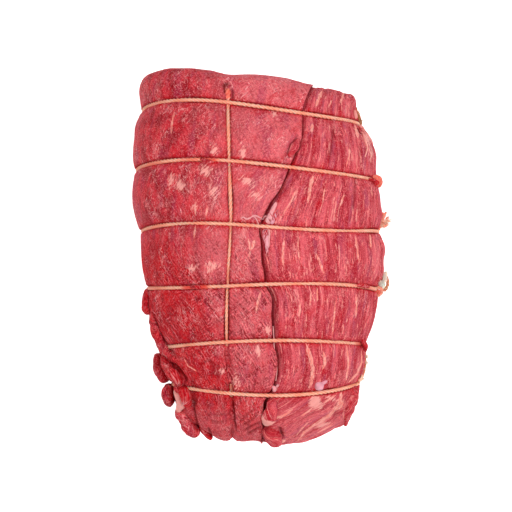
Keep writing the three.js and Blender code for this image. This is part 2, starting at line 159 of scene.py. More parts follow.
CUT_Y = TIES[0]["y"] + CUT_END["reach"]
FOLDED_Y = TIES[-1]["y"] - FOLDED_END["reach"]
CUT_FAN = TIES[0]["y"] + FAN_BEYOND_TIE
FOLDED_FAN = TIES[-1]["y"] - FAN_BEYOND_TIE
STATIONS = [{**TIES[0], **CUT_END, "y": CUT_Y}, *TIES, {**TIES[-1], **FOLDED_END, "y": FOLDED_Y}]


def smooth(low, high, v):
    t = np.clip((v - low) / (high - low), 0, 1)
    return t * t * (3 - 2 * t)


def mix(a, b, t):
    return a + (b - a) * t


def smooth_min(a, b, width):
    return np.minimum(a, b) - np.maximum(width - abs(a - b), 0) ** 2 / (4 * width)


def unit(v):
    return v / np.linalg.norm(v, axis=-1, keepdims=True)


def bell(distance, width):
    return np.exp(-((distance / width) ** 2))


def trough(distance, half, round_):
    """1 within half of a line, falling off softly over round_ beyond it."""
    return bell(np.maximum(abs(distance) - half, 0), round_)


def smooth_curve(values, slopes, i, t, width=1):
    """Values at the share t of the way from row i to the next, which is width away."""
    return (
        (2 * t**3 - 3 * t**2 + 1) * values[i]
        + (t**3 - 2 * t**2 + t) * width * slopes[i]
        + (3 * t**2 - 2 * t**3) * values[i + 1]
        + (t**3 - t**2) * width * slopes[i + 1]
    )


def along(rows, field, y):
    """A table's value at y, on a smooth curve through its rows, which run from +Y to -Y."""
    at = np.array([row["y"] for row in rows], float)
    value = np.array([row[field] for row in rows], float)
    slope = np.empty(len(rows))
    slope[1:-1] = (value[2:] - value[:-2]) / (at[2:] - at[:-2])
    slope[0] = (value[1] - value[0]) / (at[1] - at[0])
    slope[-1] = (value[-1] - value[-2]) / (at[-1] - at[-2])
    i = np.clip(np.searchsorted(-at, -y, side="left") - 1, 0, len(rows) - 2)
    width = at[i + 1] - at[i]
    return smooth_curve(value, slope, i, np.clip((y - at[i]) / width, 0, 1), width)


def section(y):
    """The middle of the cross-section at y, half its width, its top and the height of its axis."""
    left, right, top = (along(STATIONS, side, y) for side in ("left", "right", "top"))
    return (left + right) / 2, (right - left) / 2, top, AXIS_SHARE * top


def stray_at(x, y):
    """How far the roast has strayed along Y."""
    t = (x - STRAY_X) / STRAY_SPAN
    powers = dict(slope=1, bow=2, skew=3)
    return sum(along(TIES, field, y) * t**power for field, power in powers.items())


def strayed(p):
    """Points of the straightened roast, moved along Y as the ties stray."""
    x, y, z = p[..., 0], p[..., 1], p[..., 2]
    middle, half, _, axis = section(y)
    share = np.clip((x - middle) / half / 2 + 0.5, 0, 1)
    straight = mix(stray_at(middle - half, y), stray_at(middle + half, y), share)
    moved = p.copy()
    moved[..., 1] += mix(straight, stray_at(x, y), smooth(STRAY_FROM * axis, axis, z))
    return moved


def barrel(p):
    """1 on the barrel's surface, less inside it."""
    x, y, z = p[..., 0], p[..., 1], p[..., 2]
    middle, half, top, axis = section(y)
    upper = z > axis
    power = np.where(upper, UPPER_POWER, LOWER_POWER)
    across = abs(x - middle) / half
    upright = np.where(upper, (z - axis) / (top - axis), (axis - z) / (axis + SAG))
    round_ = (across**power + abs(upright) ** power) ** (1 / power)
    pick = lambda field: np.where(y > 0, CUT_END[field], FOLDED_END[field])
    away = np.where(y > 0, y - TIES[0]["y"], TIES[-1]["y"] - y)
    beyond = np.maximum(0, (away - pick("starts")) / (pick("reach") - pick("starts")))
    blunt = pick("blunt") + pick("blunt_left") * np.clip((middle - x) / half, 0, 1)
    return (round_**blunt + beyond**blunt) ** (1 / blunt)


class Rays:
    """Rays from the axis at y, at a polar angle from +Y, turned by angle from +X towards +Z."""

    def __init__(self, y, polar, angle):
        y, polar, angle = np.broadcast_arrays(np.asarray(y, float), polar, angle)
        self.polar, self.angle = polar, angle
        self.start = np.stack([along(STATIONS, "string", y), y, section(y)[3]], -1)
        turn = np.stack([np.cos(angle), np.zeros_like(y), np.sin(angle)], -1)
        self.way = turn * np.sin(polar)[..., None] + np.array([0, 1, 0]) * np.cos(polar)[..., None]
        self.bare = bare_distance(self.start, self.way)

    def at(self, distance):
        return self.start + self.way * np.asarray(distance)[..., None]

    def off_barrel(self, offset):
        """Points at an offset that is measured squarely from the barrel."""
        p = self.at(self.bare)
        slopes = [barrel(p + nudge) - barrel(p - nudge) for nudge in NUDGE * np.eye(3)]
        normal = unit(np.stack(slopes, -1))
        slant = np.maximum((normal * self.way).sum(-1), LEAST_SLANT)
        return self.at(self.bare + offset / slant)


def bare_distance(start, way):
    """How far the barrel, or the floor under it, is from start."""
    inside = np.zeros(start.shape[:-1])
    outside = np.full(start.shape[:-1], FARTHEST)
    for _ in range(HALVINGS):
        half = (inside + outside) / 2
        within = barrel(start + way * half[..., None]) < 1
        inside = np.where(within, half, inside)
        outside = np.where(within, outside, half)
    down = np.minimum(way[..., 2], -1e-9)
    return np.where(way[..., 2] < 0, smooth_min(inside, start[..., 2] / -down, SAG), inside)


def pillow(p, way, power):
    """How far the meat swells out at p, between the ties."""
    ties = np.array([tie["y"] for tie in TIES])
    gap = (p[..., 1, None] <= ties).sum(-1)
    starts = np.array([CUT_Y + CUT_END["reach"], *ties])
    stops = np.array([*ties, FOLDED_Y - FOLDED_END["reach"]])
    left, top, right = (np.array([row[side] for row in PILLOWS])[gap] for side in ("left", "top", "right"))
    sideways = way[..., 0] ** 2 * np.where(way[..., 0] < 0, left, right)
    upwards = np.maximum(way[..., 2], 0) ** 2 * top
    wave = np.sin(math.pi * (p[..., 1] - stops[gap]) / (starts[gap] - stops[gap]))
    return (sideways + upwards) * np.maximum(wave, 0) ** power


def long_offset(p, way):
    """The lengthwise twine's offset from the barrel."""
    y = p[..., 1]
    up = way[..., 2]
    rim = smooth(LONG_OUT - 1, LONG_OUT + 3, y) * smooth(*FACING_UP, up) * BURIED
    over = smooth(LONG_END_DIP["start"], LONG_END_DIP["end"], abs(way[..., 1])) * LONG_END_DIP["deep"]
    past = smooth(-LONG_DIP["start"], -LONG_DIP["end"], -y) * LONG_DIP["deep"]
    past = past - LONG_RISE["high"] * smooth(*LONG_RISE["up"], -y) * smooth(*LONG_RISE["down"], -y)
    past = np.where(up > 0, past, 0)
    return LONG_AT + LONG_LIFT * pillow(p, way, SLACK) - np.maximum(over, past) - rim


def lobe_height(p):
    """How high the loose lobes stand over the barrel at p."""
    height = np.zeros(p.shape[:-1])
    for lobe in LOBES:
        at = np.array(lobe["at"], float)
        y = np.clip(at[1], FOLDED_FAN, CUT_FAN)
        start = np.array([along(STATIONS, "string", y), y, section(y)[3]])
        way = unit(at - start)
        centre = start + way * bare_distance(start, way)
        away = p - centre
        direction = unit(np.array(lobe["along"], float))
        lengthwise = away @ direction
        across = (away**2).sum(-1) - lengthwise**2
        share = (lengthwise / lobe["long"]) ** 2 + across / lobe["wide"] ** 2
        height = np.maximum(height, lobe["high"] * np.maximum(1 - share, 0) ** LOBE_EDGE)
    return height


def seam_angle(rays):
    """The angle at which the seam runs past rays, and how far the skin there reaches past it."""
    p = rays.at(rays.bare)
    out = np.hypot(p[..., 0] - rays.start[..., 0], p[..., 2] - rays.start[..., 2])
    aside = along(SEAM, "x", p[..., 1]) - rays.start[..., 0]
    return np.arccos(np.clip(aside / np.maximum(out, 0.1), -1, 1)), out - abs(aside)


def closed_over(p, way):
    """The share of the twine's groove that has closed: at the cut end's rim, and past the fifth tie."""
    y = p[..., 1]
    up = smooth(*FACING_UP, way[..., 2])
    opened = smooth(*CLOSED["opens"], -y) * smooth(*CLOSED["closes"], -y)
    return smooth(LONG_OUT - 1, LONG_OUT + 0.6, y) * up, smooth(*CLOSED["start"], -y) * (1 - opened) * up


def cut_step(y):
    """How much shorter the right muscle is."""
    return CUT_STEP * smooth(CUT_Y - 9, CUT_Y - 3, y)


def skin(rays):
    """The meat's skin along the rays, and each point's distance round the roast from the seam."""
    p = rays.at(rays.bare)
    y = p[..., 1]
    upper = rays.way[..., 2] > 0
    knots = [
        Rays(TIES[k]["y"], math.pi / 2, angle * DEG).off_barrel(TIE_AT)
        for k, angle in KNOT_ANGLES.items()
    ]
    near_knot = np.min([np.linalg.norm(p - knot, axis=-1) for knot in knots], axis=0)
    long_at = long_offset(p, rays.way)
    beside_long = rays.off_barrel(long_at)[..., 0] - rays.start[..., 0]
    lobe = lobe_height(p)
    dent = DENT_SHARE * bell(beside_long, DENT_WIDTH) * smooth(CUT_Y - 4, LONG_OUT, y)
    offset = pillow(p, rays.way, FULL) * (1 - dent) * smooth(*HOLLOW, near_knot) + lobe

    # the seam, which wanders a little
    angle, past_axis = seam_angle(rays)
    arc = rays.bare * np.maximum(np.sin(rays.polar), 0) * (rays.angle - angle)
    arc = arc + 0.4 * np.sin(y / 6.1) * np.sin(y / 9.7 + 1) + 0.2 * np.sin(y / 1.9)
    deep = along(SEAM, "deep", y) * smooth(0, SEAM_FADE, past_axis)
    cleft = trough(arc, SEAM_HALF, np.where(arc > 0, SEAM_LEFT, SEAM_RIGHT))
    lower = smooth(0, 20, -y)
    slope = trough(arc, 0, np.where(arc > 0, mix(*SLOPE_LEFT, lower), mix(*SLOPE_RIGHT, lower)))
    offset -= deep * (CLEFT_SHARE * cleft + mix(*SLOPE_SHARE, lower) * slope)
    offset -= cut_step(y) * smooth(0.5, -0.5, arc)

    # the grooves of the twine
    for k, tie in enumerate(TIES):
        groove = trough(y - tie["y"], GROOVE_HALF, GROOVE_ROUND)
        floor = mix(offset, np.minimum(offset, TIE_FLOOR), groove)
        offset = mix(floor, offset, smooth(0, COVER, lobe)) if k in COVERED_TIES else floor
    rim, past = closed_over(p, rays.way)
    in_line = trough(beside_long, GROOVE_HALF, GROOVE_ROUND) * (1 - np.maximum(rim, past))
    offset = mix(offset, np.minimum(offset, long_at + LONG_FLOOR), in_line)
    for depth, width in CLOSED_FOLDS:
        offset -= depth * past * bell(beside_long, width)
    for row in DIMPLES:
        away = np.hypot(beside_long / row["wide"], (y - LONG_OUT - row["past"]) / row["long"])
        offset -= row["deep"] * bell(away, 1) * upper

    points = rays.off_barrel(offset)
    points[..., 2] = np.maximum(points[..., 2], 0)
    return strayed(points), arc, deep, points[..., 1]


def stepped(stops):
    """Values from each stop to the next, in the number of steps that goes with the next stop."""
    values = [stops[0][0]]
    for (start, _), (stop, steps) in zip(stops, stops[1:]):
        values += [mix(start, stop, k / steps) for k in range(1, steps + 1)]
    return values


# The mesh's rows and columns lie closer together beside a groove, at these distances from it
BESIDE_GROOVE = [0.35, 0.7, 0.95, 1.2, 1.5, 1.8, 2.2, 2.7, 3.3]
ACROSS_GROOVE = [*reversed(BESIDE_GROOVE), 0, *(-d for d in BESIDE_GROOVE)]
PILLOW_STEPS = 19
COLUMN_RADIUS = 45
CUT_POLARS = stepped([(0, 0), (30, 9), (60, 16), (76, 16), (89, 13)])
FOLDED_POLARS = stepped([(0, 0), (40, 15), (89, 38)])


def columns(seam):
    """The angles of a row's points, for the angle at which the seam runs past it."""
    turn = 1 / COLUMN_RADIUS
    top = math.pi / 2
    bottom = 1.5 * math.pi
    edge = BESIDE_GROOVE[-1] * turn
    right = [
        (-top + edge, 0),
        (-top + 0.55, 8),
        (0, 34),
        (seam - 3.5 * turn, 66),
        (seam - 0.8 * turn, 8),
        (seam + 0.8 * turn, 7),
        (seam + 3.5 * turn, 8),
        (top - edge, 22),
    ]
    left = [(top + edge, 0), (math.pi, 72), (math.pi + 1, 38), (bottom - edge, 9)]
    beside = [top - d * turn for d in ACROSS_GROOVE]
    under = [bottom + d * turn for d in (-1.5, 0, 1.5)]
    return np.array(stepped(right)[:-1] + beside + stepped(left)[1:] + under)


def rows():
    """The skin's rows: y on the axis and polar angle, from the cut end to the folded end."""
    made = [(CUT_FAN, polar * DEG) for polar in CUT_POLARS[1:]]
    for k, tie in enumerate(TIES):
        made += [(tie["y"] + d, math.pi / 2) for d in ACROSS_GROOVE]
        if k < len(TIES) - 1:
            start, stop = tie["y"] - BESIDE_GROOVE[-1], TIES[k + 1]["y"] + BESIDE_GROOVE[-1]
            made += [(mix(start, stop, i / PILLOW_STEPS), math.pi / 2) for i in range(1, PILLOW_STEPS)]
    made += [(FOLDED_FAN, math.pi - polar * DEG) for polar in reversed(FOLDED_POLARS[1:])]
    return made


# Features of the surface lie where the photo shows them. Places, sizes and lines are in its pixels.
# Dents: place, size, depth in mm and the share of painted shade colour
DENTS = [
    ((190, 66), (20, 9), 0.9, 0),
    ((228, 67), (24, 9), 2.5, 0),
    ((342, 89), (14, 6), -2.3, 0),
    ((360, 109), (6, 9), 1.3, 0),
    ((133, 124), (9, 12), -1.1, 0),
    ((216, 441), (13, 7), -2.1, 0),
    ((379, 166), (9, 9), 0.9, 0),
    ((383, 204), (9, 9), 1, 0),
    ((387, 261), (9, 9), 1.1, 0),
    ((352, 96), (7, 8), -2.6, 0),
    ((256, 447), (14, 9), 2, 0),
    ((225.2, 85.8), (3.2, 3.4), 0.9, 1),
    ((192, 402), (4, 12), 1.6, 0.2),
    ((336, 416), (3, 6), 1.6, 0.3),
    ((211, 362), (9, 5), 0.5, 0),
    ((196, 300), (10, 6), 0.4, 0),
]
# Creases: width and depth in mm, the share of painted shade colour, and the line
CREASES = [
    (1.2, 0.4, 0.2, [(206, 74), (216, 79), (223, 84), (227, 88)]),
    (0.8, 0.5, 1, [(230, 83), (227, 85), (225, 89), (225, 95)]),
    (0.8, 0.4, 0.9, [(231.4, 88), (232.6, 93), (232.6, 102)]),
    (2, 0.5, 0, [(228, 87), (232, 82), (240, 76)]),
    (1.5, 2.6, 1, [(166, 361), (173, 367), (180, 375), (187, 384)]),
    (1.2, 1.6, 0.9, [(359, 125), (362, 129), (365, 134)]),
    (1, 2, 1, [(279, 427), (281, 433), (283, 439)]),
    (0.8, 0.9, 0.7, [(155, 318), (158, 331), (163, 341), (169, 348), (178, 360)]),
    (0.8, 1.2, 0.9, [(190, 396), (191, 410), (197, 425), (203, 435)]),
    (0.7, 1, 0.9, [(207, 427), (211, 433), (214, 439)]),
    (0.6, 0.4, 0.45, [(226, 346), (227, 362), (228, 379)]),
    (0.7, 0.8, 1, [(232, 396), (233, 408), (234, 421), (237, 433)]),
    (0.5, 0.5, 0.8, [(243, 431), (250, 427), (257, 424), (263, 423)]),
    (0.5, 0.5, 0.8, [(246, 435), (253, 431), (260, 428), (264, 428)]),
    (0.5, 0.35, 0.6, [(242, 426), (250, 421), (258, 416)]),
    (0.5, 0.3, 0.5, [(241, 420), (249, 413), (257, 407)]),
    (0.6, 0.4, 0.4, [(205, 412), (215, 416), (228, 414), (235, 408)]),
    (0.6, 0.35, 0.4, [(207, 420), (217, 423), (229, 420), (236, 415)]),
    (0.7, 0.5, 0.6, [(200, 365), (206, 361), (213, 363), (219, 370)]),
    (0.6, 0.4, 0.5, [(214, 363), (212, 371), (215, 380)]),
    (0.6, 0.3, 0.3, [(208, 362), (213, 369), (221, 374)]),
    (0.7, 0.3, 0.2, [(187, 300), (180, 318), (176, 332)]),
    (1.1, 0.8, 0.6, [(335, 122), (334, 135), (332, 150), (329, 164)]),
    (1.1, 0.9, 0.6, [(355, 173), (356, 190), (354.5, 202), (352, 214)]),
    (0.7, 0.9, 0.8, [(299, 134), (290, 146), (285, 156), (283, 163)]),
]
# Edges: how much higher the surface on the right of the line is, for how far, and the line
STEPS = [
    (0.9, 5, [(296, 404), (288, 413), (282, 416), (274, 418), (268, 420)]),
    (0.9, 5, [(345, 425), (341.7, 414), (343.7, 407), (345, 399)]),
]
# Streaks of fat: half the width at the start, the share of it that is left at the end, and the line
STREAKS = [
    (1.3, 1, [(322, 91), (319, 99), (316, 107)]),
    (0.8, 1, [(343, 91), (342, 97), (340, 103)]),
    (0.7, 1, [(332, 100), (329, 107)]),
    (1.2, 1, [(312, 124), (311.6, 133)]),
    (0.9, 1, [(358, 138), (359, 147), (359, 157)]),
    (0.5, 1, [(350, 144), (349, 156), (346, 166)]),
    (1.4, 1, [(313, 175), (310, 190), (308, 203)]),
    (0.7, 1, [(325, 188), (323, 201)]),
    (0.8, 1, [(344, 195), (340, 206)]),
    (0.7, 1, [(296, 190), (290, 203), (283, 214)]),
    (0.5, 1, [(371, 186), (372, 197)]),
    (1, 1, [(284, 240), (283, 252), (283, 266)]),
    (1, 1, [(316, 253), (320, 262), (324, 274)]),
    (0.8, 1, [(355, 236), (357, 248), (359, 262)]),
    (0.9, 1, [(370, 234), (371, 248)]),
    (0.5, 1, [(298, 237), (298, 250), (300, 262)]),
    (0.8, 1, [(317, 288), (317, 302)]),
    (0.7, 1, [(311, 292), (310, 306)]),
    (0.9, 1, [(300, 303), (299, 316)]),
    (0.7, 1, [(356, 295), (357, 306), (356, 318)]),
    (0.6, 1, [(335, 300), (334, 318), (332, 336)]),
    (1.5, 1, [(306, 343), (309, 352), (312, 364), (312.8, 376), (309, 390)]),
    (1.1, 1, [(323, 352), (325, 362), (322, 370)]),
    (0.9, 1, [(346, 346), (348, 364), (346, 382)]),
    (0.8, 1, [(361, 350), (362, 362), (357, 374), (348, 383)]),
    (2.5, 0.3, [
        (341.5, 391), (341, 399), (339, 405), (333.5, 410), (328, 415), (315, 423), (305, 431),
        (297, 442),
    ]),
    (0.8, 1, [(323, 403), (329, 399.5), (336, 395)]),
    (0.8, 1, [(351.7, 403), (350.5, 412)]),
    (0.5, 1, [(344.5, 399), (343.7, 408), (342, 413), (344.5, 421)]),
    (0.6, 1, [(301, 416), (309, 411), (313, 407)]),
    (0.5, 1, [(296, 436), (302, 428), (309, 421)]),
    (0.5, 1, [(318, 433), (326, 428), (333, 422)]),
    (0.8, 1, [(293, 408), (288, 413), (282, 416), (274, 418)]),
    (0.5, 1, [(184, 358), (189, 366), (198, 371)]),
    (0.8, 1, [(174, 112), (172, 124), (171, 134)]),
    (0.8, 1, [(208, 206), (206, 216)]),
    (0.6, 1, [(195, 205), (196, 215)]),
    (0.7, 1, [(196, 226), (194, 238)]),
    (1.6, 1, [(254.8, 240), (252.5, 245), (250.3, 251), (249, 257)]),
    (0.9, 1, [(248.5, 239), (249.6, 246), (250, 252)]),
    (1.1, 1, [(354, 124), (357.5, 134.7), (358.8, 145), (359.6, 156)]),
    (1, 1, [(261, 291), (258, 302), (256, 312)]),
]
# Patches of fat: place, size, turn in degrees and how solid they are
FAT_PATCHES = [
    ((367, 139), (3.5, 8), 25, 0.8),
    ((371, 152), (2, 8), 5, 0.6),
    ((205, 171), (6, 5), -30, 0.85),
    ((180, 186), (5, 4), -30, 0.8),
    ((170, 181), (3, 5), 0, 0.5),
    ((196, 207), (3, 5), 0, 0.6),
    ((213, 193), (3, 6), 0, 0.7),
    ((214, 150), (3, 5), 10, 0.7),
    ((247, 181), (8, 4), -25, 0.8),
    ((257, 196), (5, 3), -25, 0.5),
    ((274.5, 114), (3, 3), 0, 0.9),
    ((243, 152), (3, 6), 0, 0.6),
    ((193, 268), (5, 3), 20, 0.7),
    ((212, 266), (5, 4), 20, 0.5),
    ((258, 350), (2.4, 6), 0, 0.9),
    ((222, 371), (5, 2.4), 20, 0.7),
    ((268, 330), (2.4, 4), 0, 0.8),
    ((315.5, 402.5), (8, 7), -35, 1.6),
    ((323.5, 424), (6, 4), 20, 0.7),
    ((275, 388), (3, 3), 0, 0.9),
    ((236, 383), (3.4, 5), 0, 0.4),
    ((331, 398), (7, 1.6), -15, 0.6),
]


def to_pixels(points):
    """Pixels of the photo at which points show."""
    back = np.array([0, -math.cos(CAMERA_ELEVATION), math.sin(CAMERA_ELEVATION)])
    up = np.array([0, math.sin(CAMERA_ELEVATION), math.cos(CAMERA_ELEVATION)])
    seen = points - (CAMERA_TARGET + CAMERA_DISTANCE * back)
    scale = PIXELS_PER_SLOPE / -(seen @ back)
    return np.stack([PHOTO_SIZE / 2 + scale * seen[..., 0], PHOTO_SIZE / 2 - scale * (seen @ up)], -1)


def beside_line(pixels, line):
    """Distance from a line, positive on one side of it, and the share of the line passed."""
    line = np.array(line, float)
    lengths = np.linalg.norm(np.diff(line, axis=0), axis=1)
    best = np.full(pixels.shape[:-1], np.inf)
    share = np.zeros(pixels.shape[:-1])
    for i, length in enumerate(lengths):
        way = (line[i + 1] - line[i]) / length
        away = pixels - line[i]
        passed = np.clip(away @ way, 0, length)
        distance = np.linalg.norm(away - passed[..., None] * way, axis=-1)
        side = np.sign(away[..., 0] * way[1] - away[..., 1] * way[0])
        nearer = distance < abs(best)
        best = np.where(nearer, distance * np.where(side == 0, 1, side), best)
        share = np.where(nearer, (lengths[:i].sum() + passed) / lengths.sum(), share)
    return best, share


def ends_faded(share, over=0.2):
    return smooth(0, over, share) * smooth(0, over, 1 - share)


def swells(points, size, seed):
    """Smooth noise from -1 to 1, with swells of about size mm, or of one size for each axis."""
    shift = np.array([seed * 17.31, seed * 5.77, seed * 9.13])
    flat = (points / np.array(size, float) + shift).reshape(-1, 3)
    return np.array([noise.noise(v) for v in flat.tolist()]).reshape(points.shape[:-1])


def grid_normals(grid):
    around = np.roll(grid, -1, axis=1) - np.roll(grid, 1, axis=1)
    lengthwise = np.gradient(grid, axis=0)
    return unit(np.cross(around, lengthwise))


MUSCLE_WIDTHS = (46, 62) # of the right muscle and the left one, in mm
MM_PER_PIXEL = 0.44 # of the photo, on the roast's top
CREASE_HALF = 0.5 # of the painted shade along a crease, in mm
PRESSED_HALF = 1.9 # of the meat that the twine presses
# A painted shadow line just beside each tie, on its side towards the cut end: where, how wide and how dark
TIE_SHADOW = dict(at=1.15, half=0.4, dark=0.4)
SEAM_SHADE = (0.52, 0.4) # half the seam's painted shade line, in the upper part and the lower part
LIP = dict(at=0.9, half=0.8, out=0.7) # along the seam the left muscle hangs over
# Where the deep red begins and where the pale part begins: y and x
DEEP_BORDER = ([-70, -50, -27, -2], [10, -16, -20, -30])
PALE_BORDER = ([-50, -27, -2, 30], [-26, -34, -42, -40])


def grain_of(points):
    """Coordinates in which the muscle's fibres run along the second axis.

    They follow the seam at the seam and the outline at the sides, and sweep to the left below the
    last tie on the right.
    """
    x, y = points[..., 0], points[..., 1]
    seam = along(SEAM, "x", y)
    middle, half, _, _ = section(y)
    right = x > seam
    width = np.where(right, middle + half - seam, seam - middle + half)
    across = (x - seam) / width * np.where(right, *MUSCLE_WIDTHS)
    across = across - np.where(right, 1.4 * smooth(58, 72, -y) * (y + 60), 0)
    return np.stack([across, y, points[..., 2]], -1)


def wrinkles(grid, grain, right):
    """The height of swells and folds, and the painted shade in the cracks between the folds."""
    height = 0.55 * swells(grid, 17, 1) + 0.28 * swells(grain, (6, 11, 6), 2)
    height = height + 0.10 * swells(grid, 2.6, 3) + right * 0.34 * swells(grain, (2.8, 34, 6), 4)
    wrinkled = (1 - right) * mix(0.35, 1, smooth(-20, 30, -grid[..., 1]))
    turn = 0.62 + 0.5 * swells(grid, 30, 7)
    c, s = np.cos(turn), np.sin(turn)
    x, y, z = (grain[..., i] for i in range(3))
    folds = np.stack([x * c + y * s, y * c - x * s, z], -1)
    ridges = 1 - 2 * abs(swells(folds, (3, 8, 5), 5))
    height += wrinkled * 0.4 * ridges * (0.5 + swells(grid, 14, 6))
    cracks = bell(swells(folds, (5, 12, 6), 8), 0.06) * smooth(-0.1, 0.3, swells(grid, 11, 9)) * wrinkled
    # the second value is painted shade in the cracks
    return height - 0.3 * cracks, 0.15 * cracks


def with_marks(height, crease, pixels, facing, upright):
    """Height and painted shade with the photo's creases, edges and dents."""
    for wide, depth, dark, line in CREASES:
        away, share = beside_line(pixels, line)
        away = away * MM_PER_PIXEL
        here = ends_faded(share) * facing
        height = height - depth * here * bell(away, wide)
        # painted shade along the crease, by its share of dark colour
        crease = np.maximum(crease, dark * here * bell(away, CREASE_HALF))
    for high, reach, line in STEPS:
        away, share = beside_line(pixels, line)
        away = away * MM_PER_PIXEL
        raised = smooth(-0.3, 0.5, away) * np.exp(-np.maximum(away, 0) / reach)
        height = height + high * raised * ends_faded(share, 0.15) * facing
    for at, size, depth, dark in DENTS:
        away = (pixels - np.array(at, float)) / np.array(size, float)
        here = np.exp(-(away**2).sum(-1)) * smooth(-0.3, 0, upright)
        height = height - depth * here
        # painted shade in the dent, by its share of dark colour
        crease = np.maximum(crease, dark * here)
    return height, crease


def nearest_streak(pixels, facing):
    """The distance from the nearest streak of fat, and how far the streak reaches there."""
    near = np.full(facing.shape, np.inf)
    second = near
    side = np.zeros(facing.shape)
    reach = np.zeros(facing.shape)
    for wide, end, line in STREAKS:
        away, share = beside_line(pixels, line)
        nearer = abs(away) < near
        second = np.where(nearer, near, np.minimum(second, abs(away)))
        near = np.where(nearer, abs(away), near)
        side = np.where(nearer, away, side)
        reach = np.where(nearer, wide * mix(1, end, share) * np.sqrt(ends_faded(share)), reach)
    return side, reach * (facing * smooth(0, 2, second - near) * smooth(6, 4, near))


def fat_patches(pixels, facing):
    """Over 0 inside a patch of fat, and down to -1 away from it."""
    fat = np.full(facing.shape, -1.0)
    for at, size, degrees, share in FAT_PATCHES:
        c, s = math.cos(degrees * DEG), math.sin(degrees * DEG)
        away = pixels - np.array(at, float)
        u = (away[..., 0] * c - away[..., 1] * s) / size[0]
        v = (away[..., 0] * s + away[..., 1] * c) / size[1]
        fat = np.maximum(fat, np.where(facing > 0, share * (1 - np.hypot(u, v)), -1))
    return fat


def shades(grid, upright, right, pressed, under_string, off_floor):
    """Where the muscle is deep red, pale and coarse. The pale share holds a painted sheen on the steep left
    sides too.
    """
    x, y = grid[..., 0], grid[..., 1]
    deep_red = 0.95 * smooth(-16, 8, -y) * smooth(8, -8, x - np.interp(y, *DEEP_BORDER))
    deep_red *= mix(0.4, 1, smooth(-72, -58, y))
    deep_red = np.maximum(deep_red, np.maximum(pressed, 0.45 * under_string))
    beside = smooth(0, mix(24, 42, smooth(0, 20, y)), x - np.interp(y, *PALE_BORDER) - 3) * (1 - right)
    pale = 0.8 * beside * mix(0.8, 1, smooth(-30, 20, y))
    pale = np.maximum(pale, 0.55 * smooth(58, 76, -y))
    # paler on the steep left sides of the upper part: a painted sheen
    rim = smooth(0.6, 0.1, upright) * smooth(-20, -40, x) * smooth(-25, 5, y)
    pale = np.maximum(pale, 0.5 * rim * off_floor)
    pale = pale * (1 - 0.8 * np.maximum(pressed, 0.5 * under_string))
    coarse = mix(0.48, 1.25, smooth(-12, 16, -y)) * mix(0.8, 1, smooth(-75, -60, y))
    return dict(deep_red=deep_red, pale=pale, coarse=mix(coarse, 1, right))


def relieved(grid, arc, deep, straight_y):
    """The grid with its finer relief, and the values that the material reads."""
    normals = grid_normals(grid)
    pixels = to_pixels(grid)
    grain = grain_of(grid)
    facing = smooth(0, 0.25, normals[..., 2])
    off_floor = smooth(0.5, 5, grid[..., 2])

    # the muscles meet at the seam, and on the cut face at a border that slants down
    right = smooth(0.5, -0.5, arc)
    low = section(straight_y)[3] - grid[..., 2]
    past_border = grid[..., 0] - along(SEAM, "x", straight_y) + 0.45 * low
    past_border = past_border + 1.6 * swells(grid, 12, 11) + 0.5 * swells(grid, 3, 12)
    straightened = np.where(low > -1.5, smooth(-0.5, 0.5, past_border), right)
    undone_step = cut_step(straight_y) * (right - straightened)
    right = straightened

    height, crease = wrinkles(grid, grain, right)
    height, crease = with_marks(height, crease, pixels, facing, normals[..., 2])
    side, reach = nearest_streak(pixels, facing)
    cut = smooth(0.6, 0.9, normals[..., 1]) * (low > 0)
    side = np.where(cut > 0, past_border, side)
    reach = np.where(cut > 0, 0.5 * cut * off_floor, reach)

    relief = grid + normals * (height * off_floor)[..., None]
    relief[..., 1] += undone_step
    lip = bell(arc - LIP["at"], LIP["half"]) * smooth(2, 4, deep) * off_floor
    lip *= smooth(CUT_Y - 4, CUT_Y - 10, straight_y) * smooth(-12, 4, straight_y)
    around = unit(np.roll(grid, 1, axis=1) - np.roll(grid, -1, axis=1))
    relief += around * (LIP["out"] * lip)[..., None]
    relief[..., 2] = np.maximum(relief[..., 2], 0)

    # under the twine
    pressed = np.max([bell(straight_y - tie["y"], PRESSED_HALF) for tie in TIES], axis=0)
    from_string = grid[..., 0] - along(STATIONS, "string", straight_y)
    under_string = bell(from_string, PRESSED_HALF) * facing
    under_string *= smooth(-39, -37, straight_y) * smooth(LONG_OUT, LONG_OUT - 2, straight_y)
    # a painted shade line along the seam's cleft
    narrow = mix(*SEAM_SHADE, smooth(5, -15, straight_y))
    crease = np.maximum(crease, bell(arc + 0.1, narrow) * smooth(1, 3, deep))
    # a painted shadow line just past each tie, towards the cut end
    for tie in TIES:
        away = straight_y - tie["y"] - TIE_SHADOW["at"]
        crease = np.maximum(crease, TIE_SHADOW["dark"] * bell(away, TIE_SHADOW["half"]))

    values = dict(right=right, crease=crease, fat=fat_patches(pixels, facing))
    values.update(streak_side=side, streak_reach=reach, pink=np.zeros(height.shape))
    values.update(shades(grid, normals[..., 2], right, pressed, under_string, off_floor))
    return relief, grain, values


def new_object(name, material, points, faces, values=None):
    mesh = bpy.data.meshes.new(name)
    mesh.from_pydata(((points - MIDDLE) * METRE).tolist(), [], faces)
    mesh.polygons.foreach_set("use_smooth", [True] * len(mesh.polygons))
    mesh.materials.append(material)
    made = bpy.data.objects.new(name, mesh)
    bpy.context.scene.collection.objects.link(made)
    for value_name, value in (values or {}).items():
        vector = value.ndim == 2
        attribute = mesh.attributes.new(value_name, "FLOAT_VECTOR" if vector else "FLOAT", "POINT")
        attribute.data.foreach_set("vector" if vector else "value", value.astype(np.float32).ravel())
    return made


def linear(*channels):
    """A colour of 0 to 255 for each channel, as the shaders take it."""
    return tuple(((c / 255 + 0.055) / 1.055) ** 2.4 if c > 10.3 else c / 255 / 12.92 for c in channels)


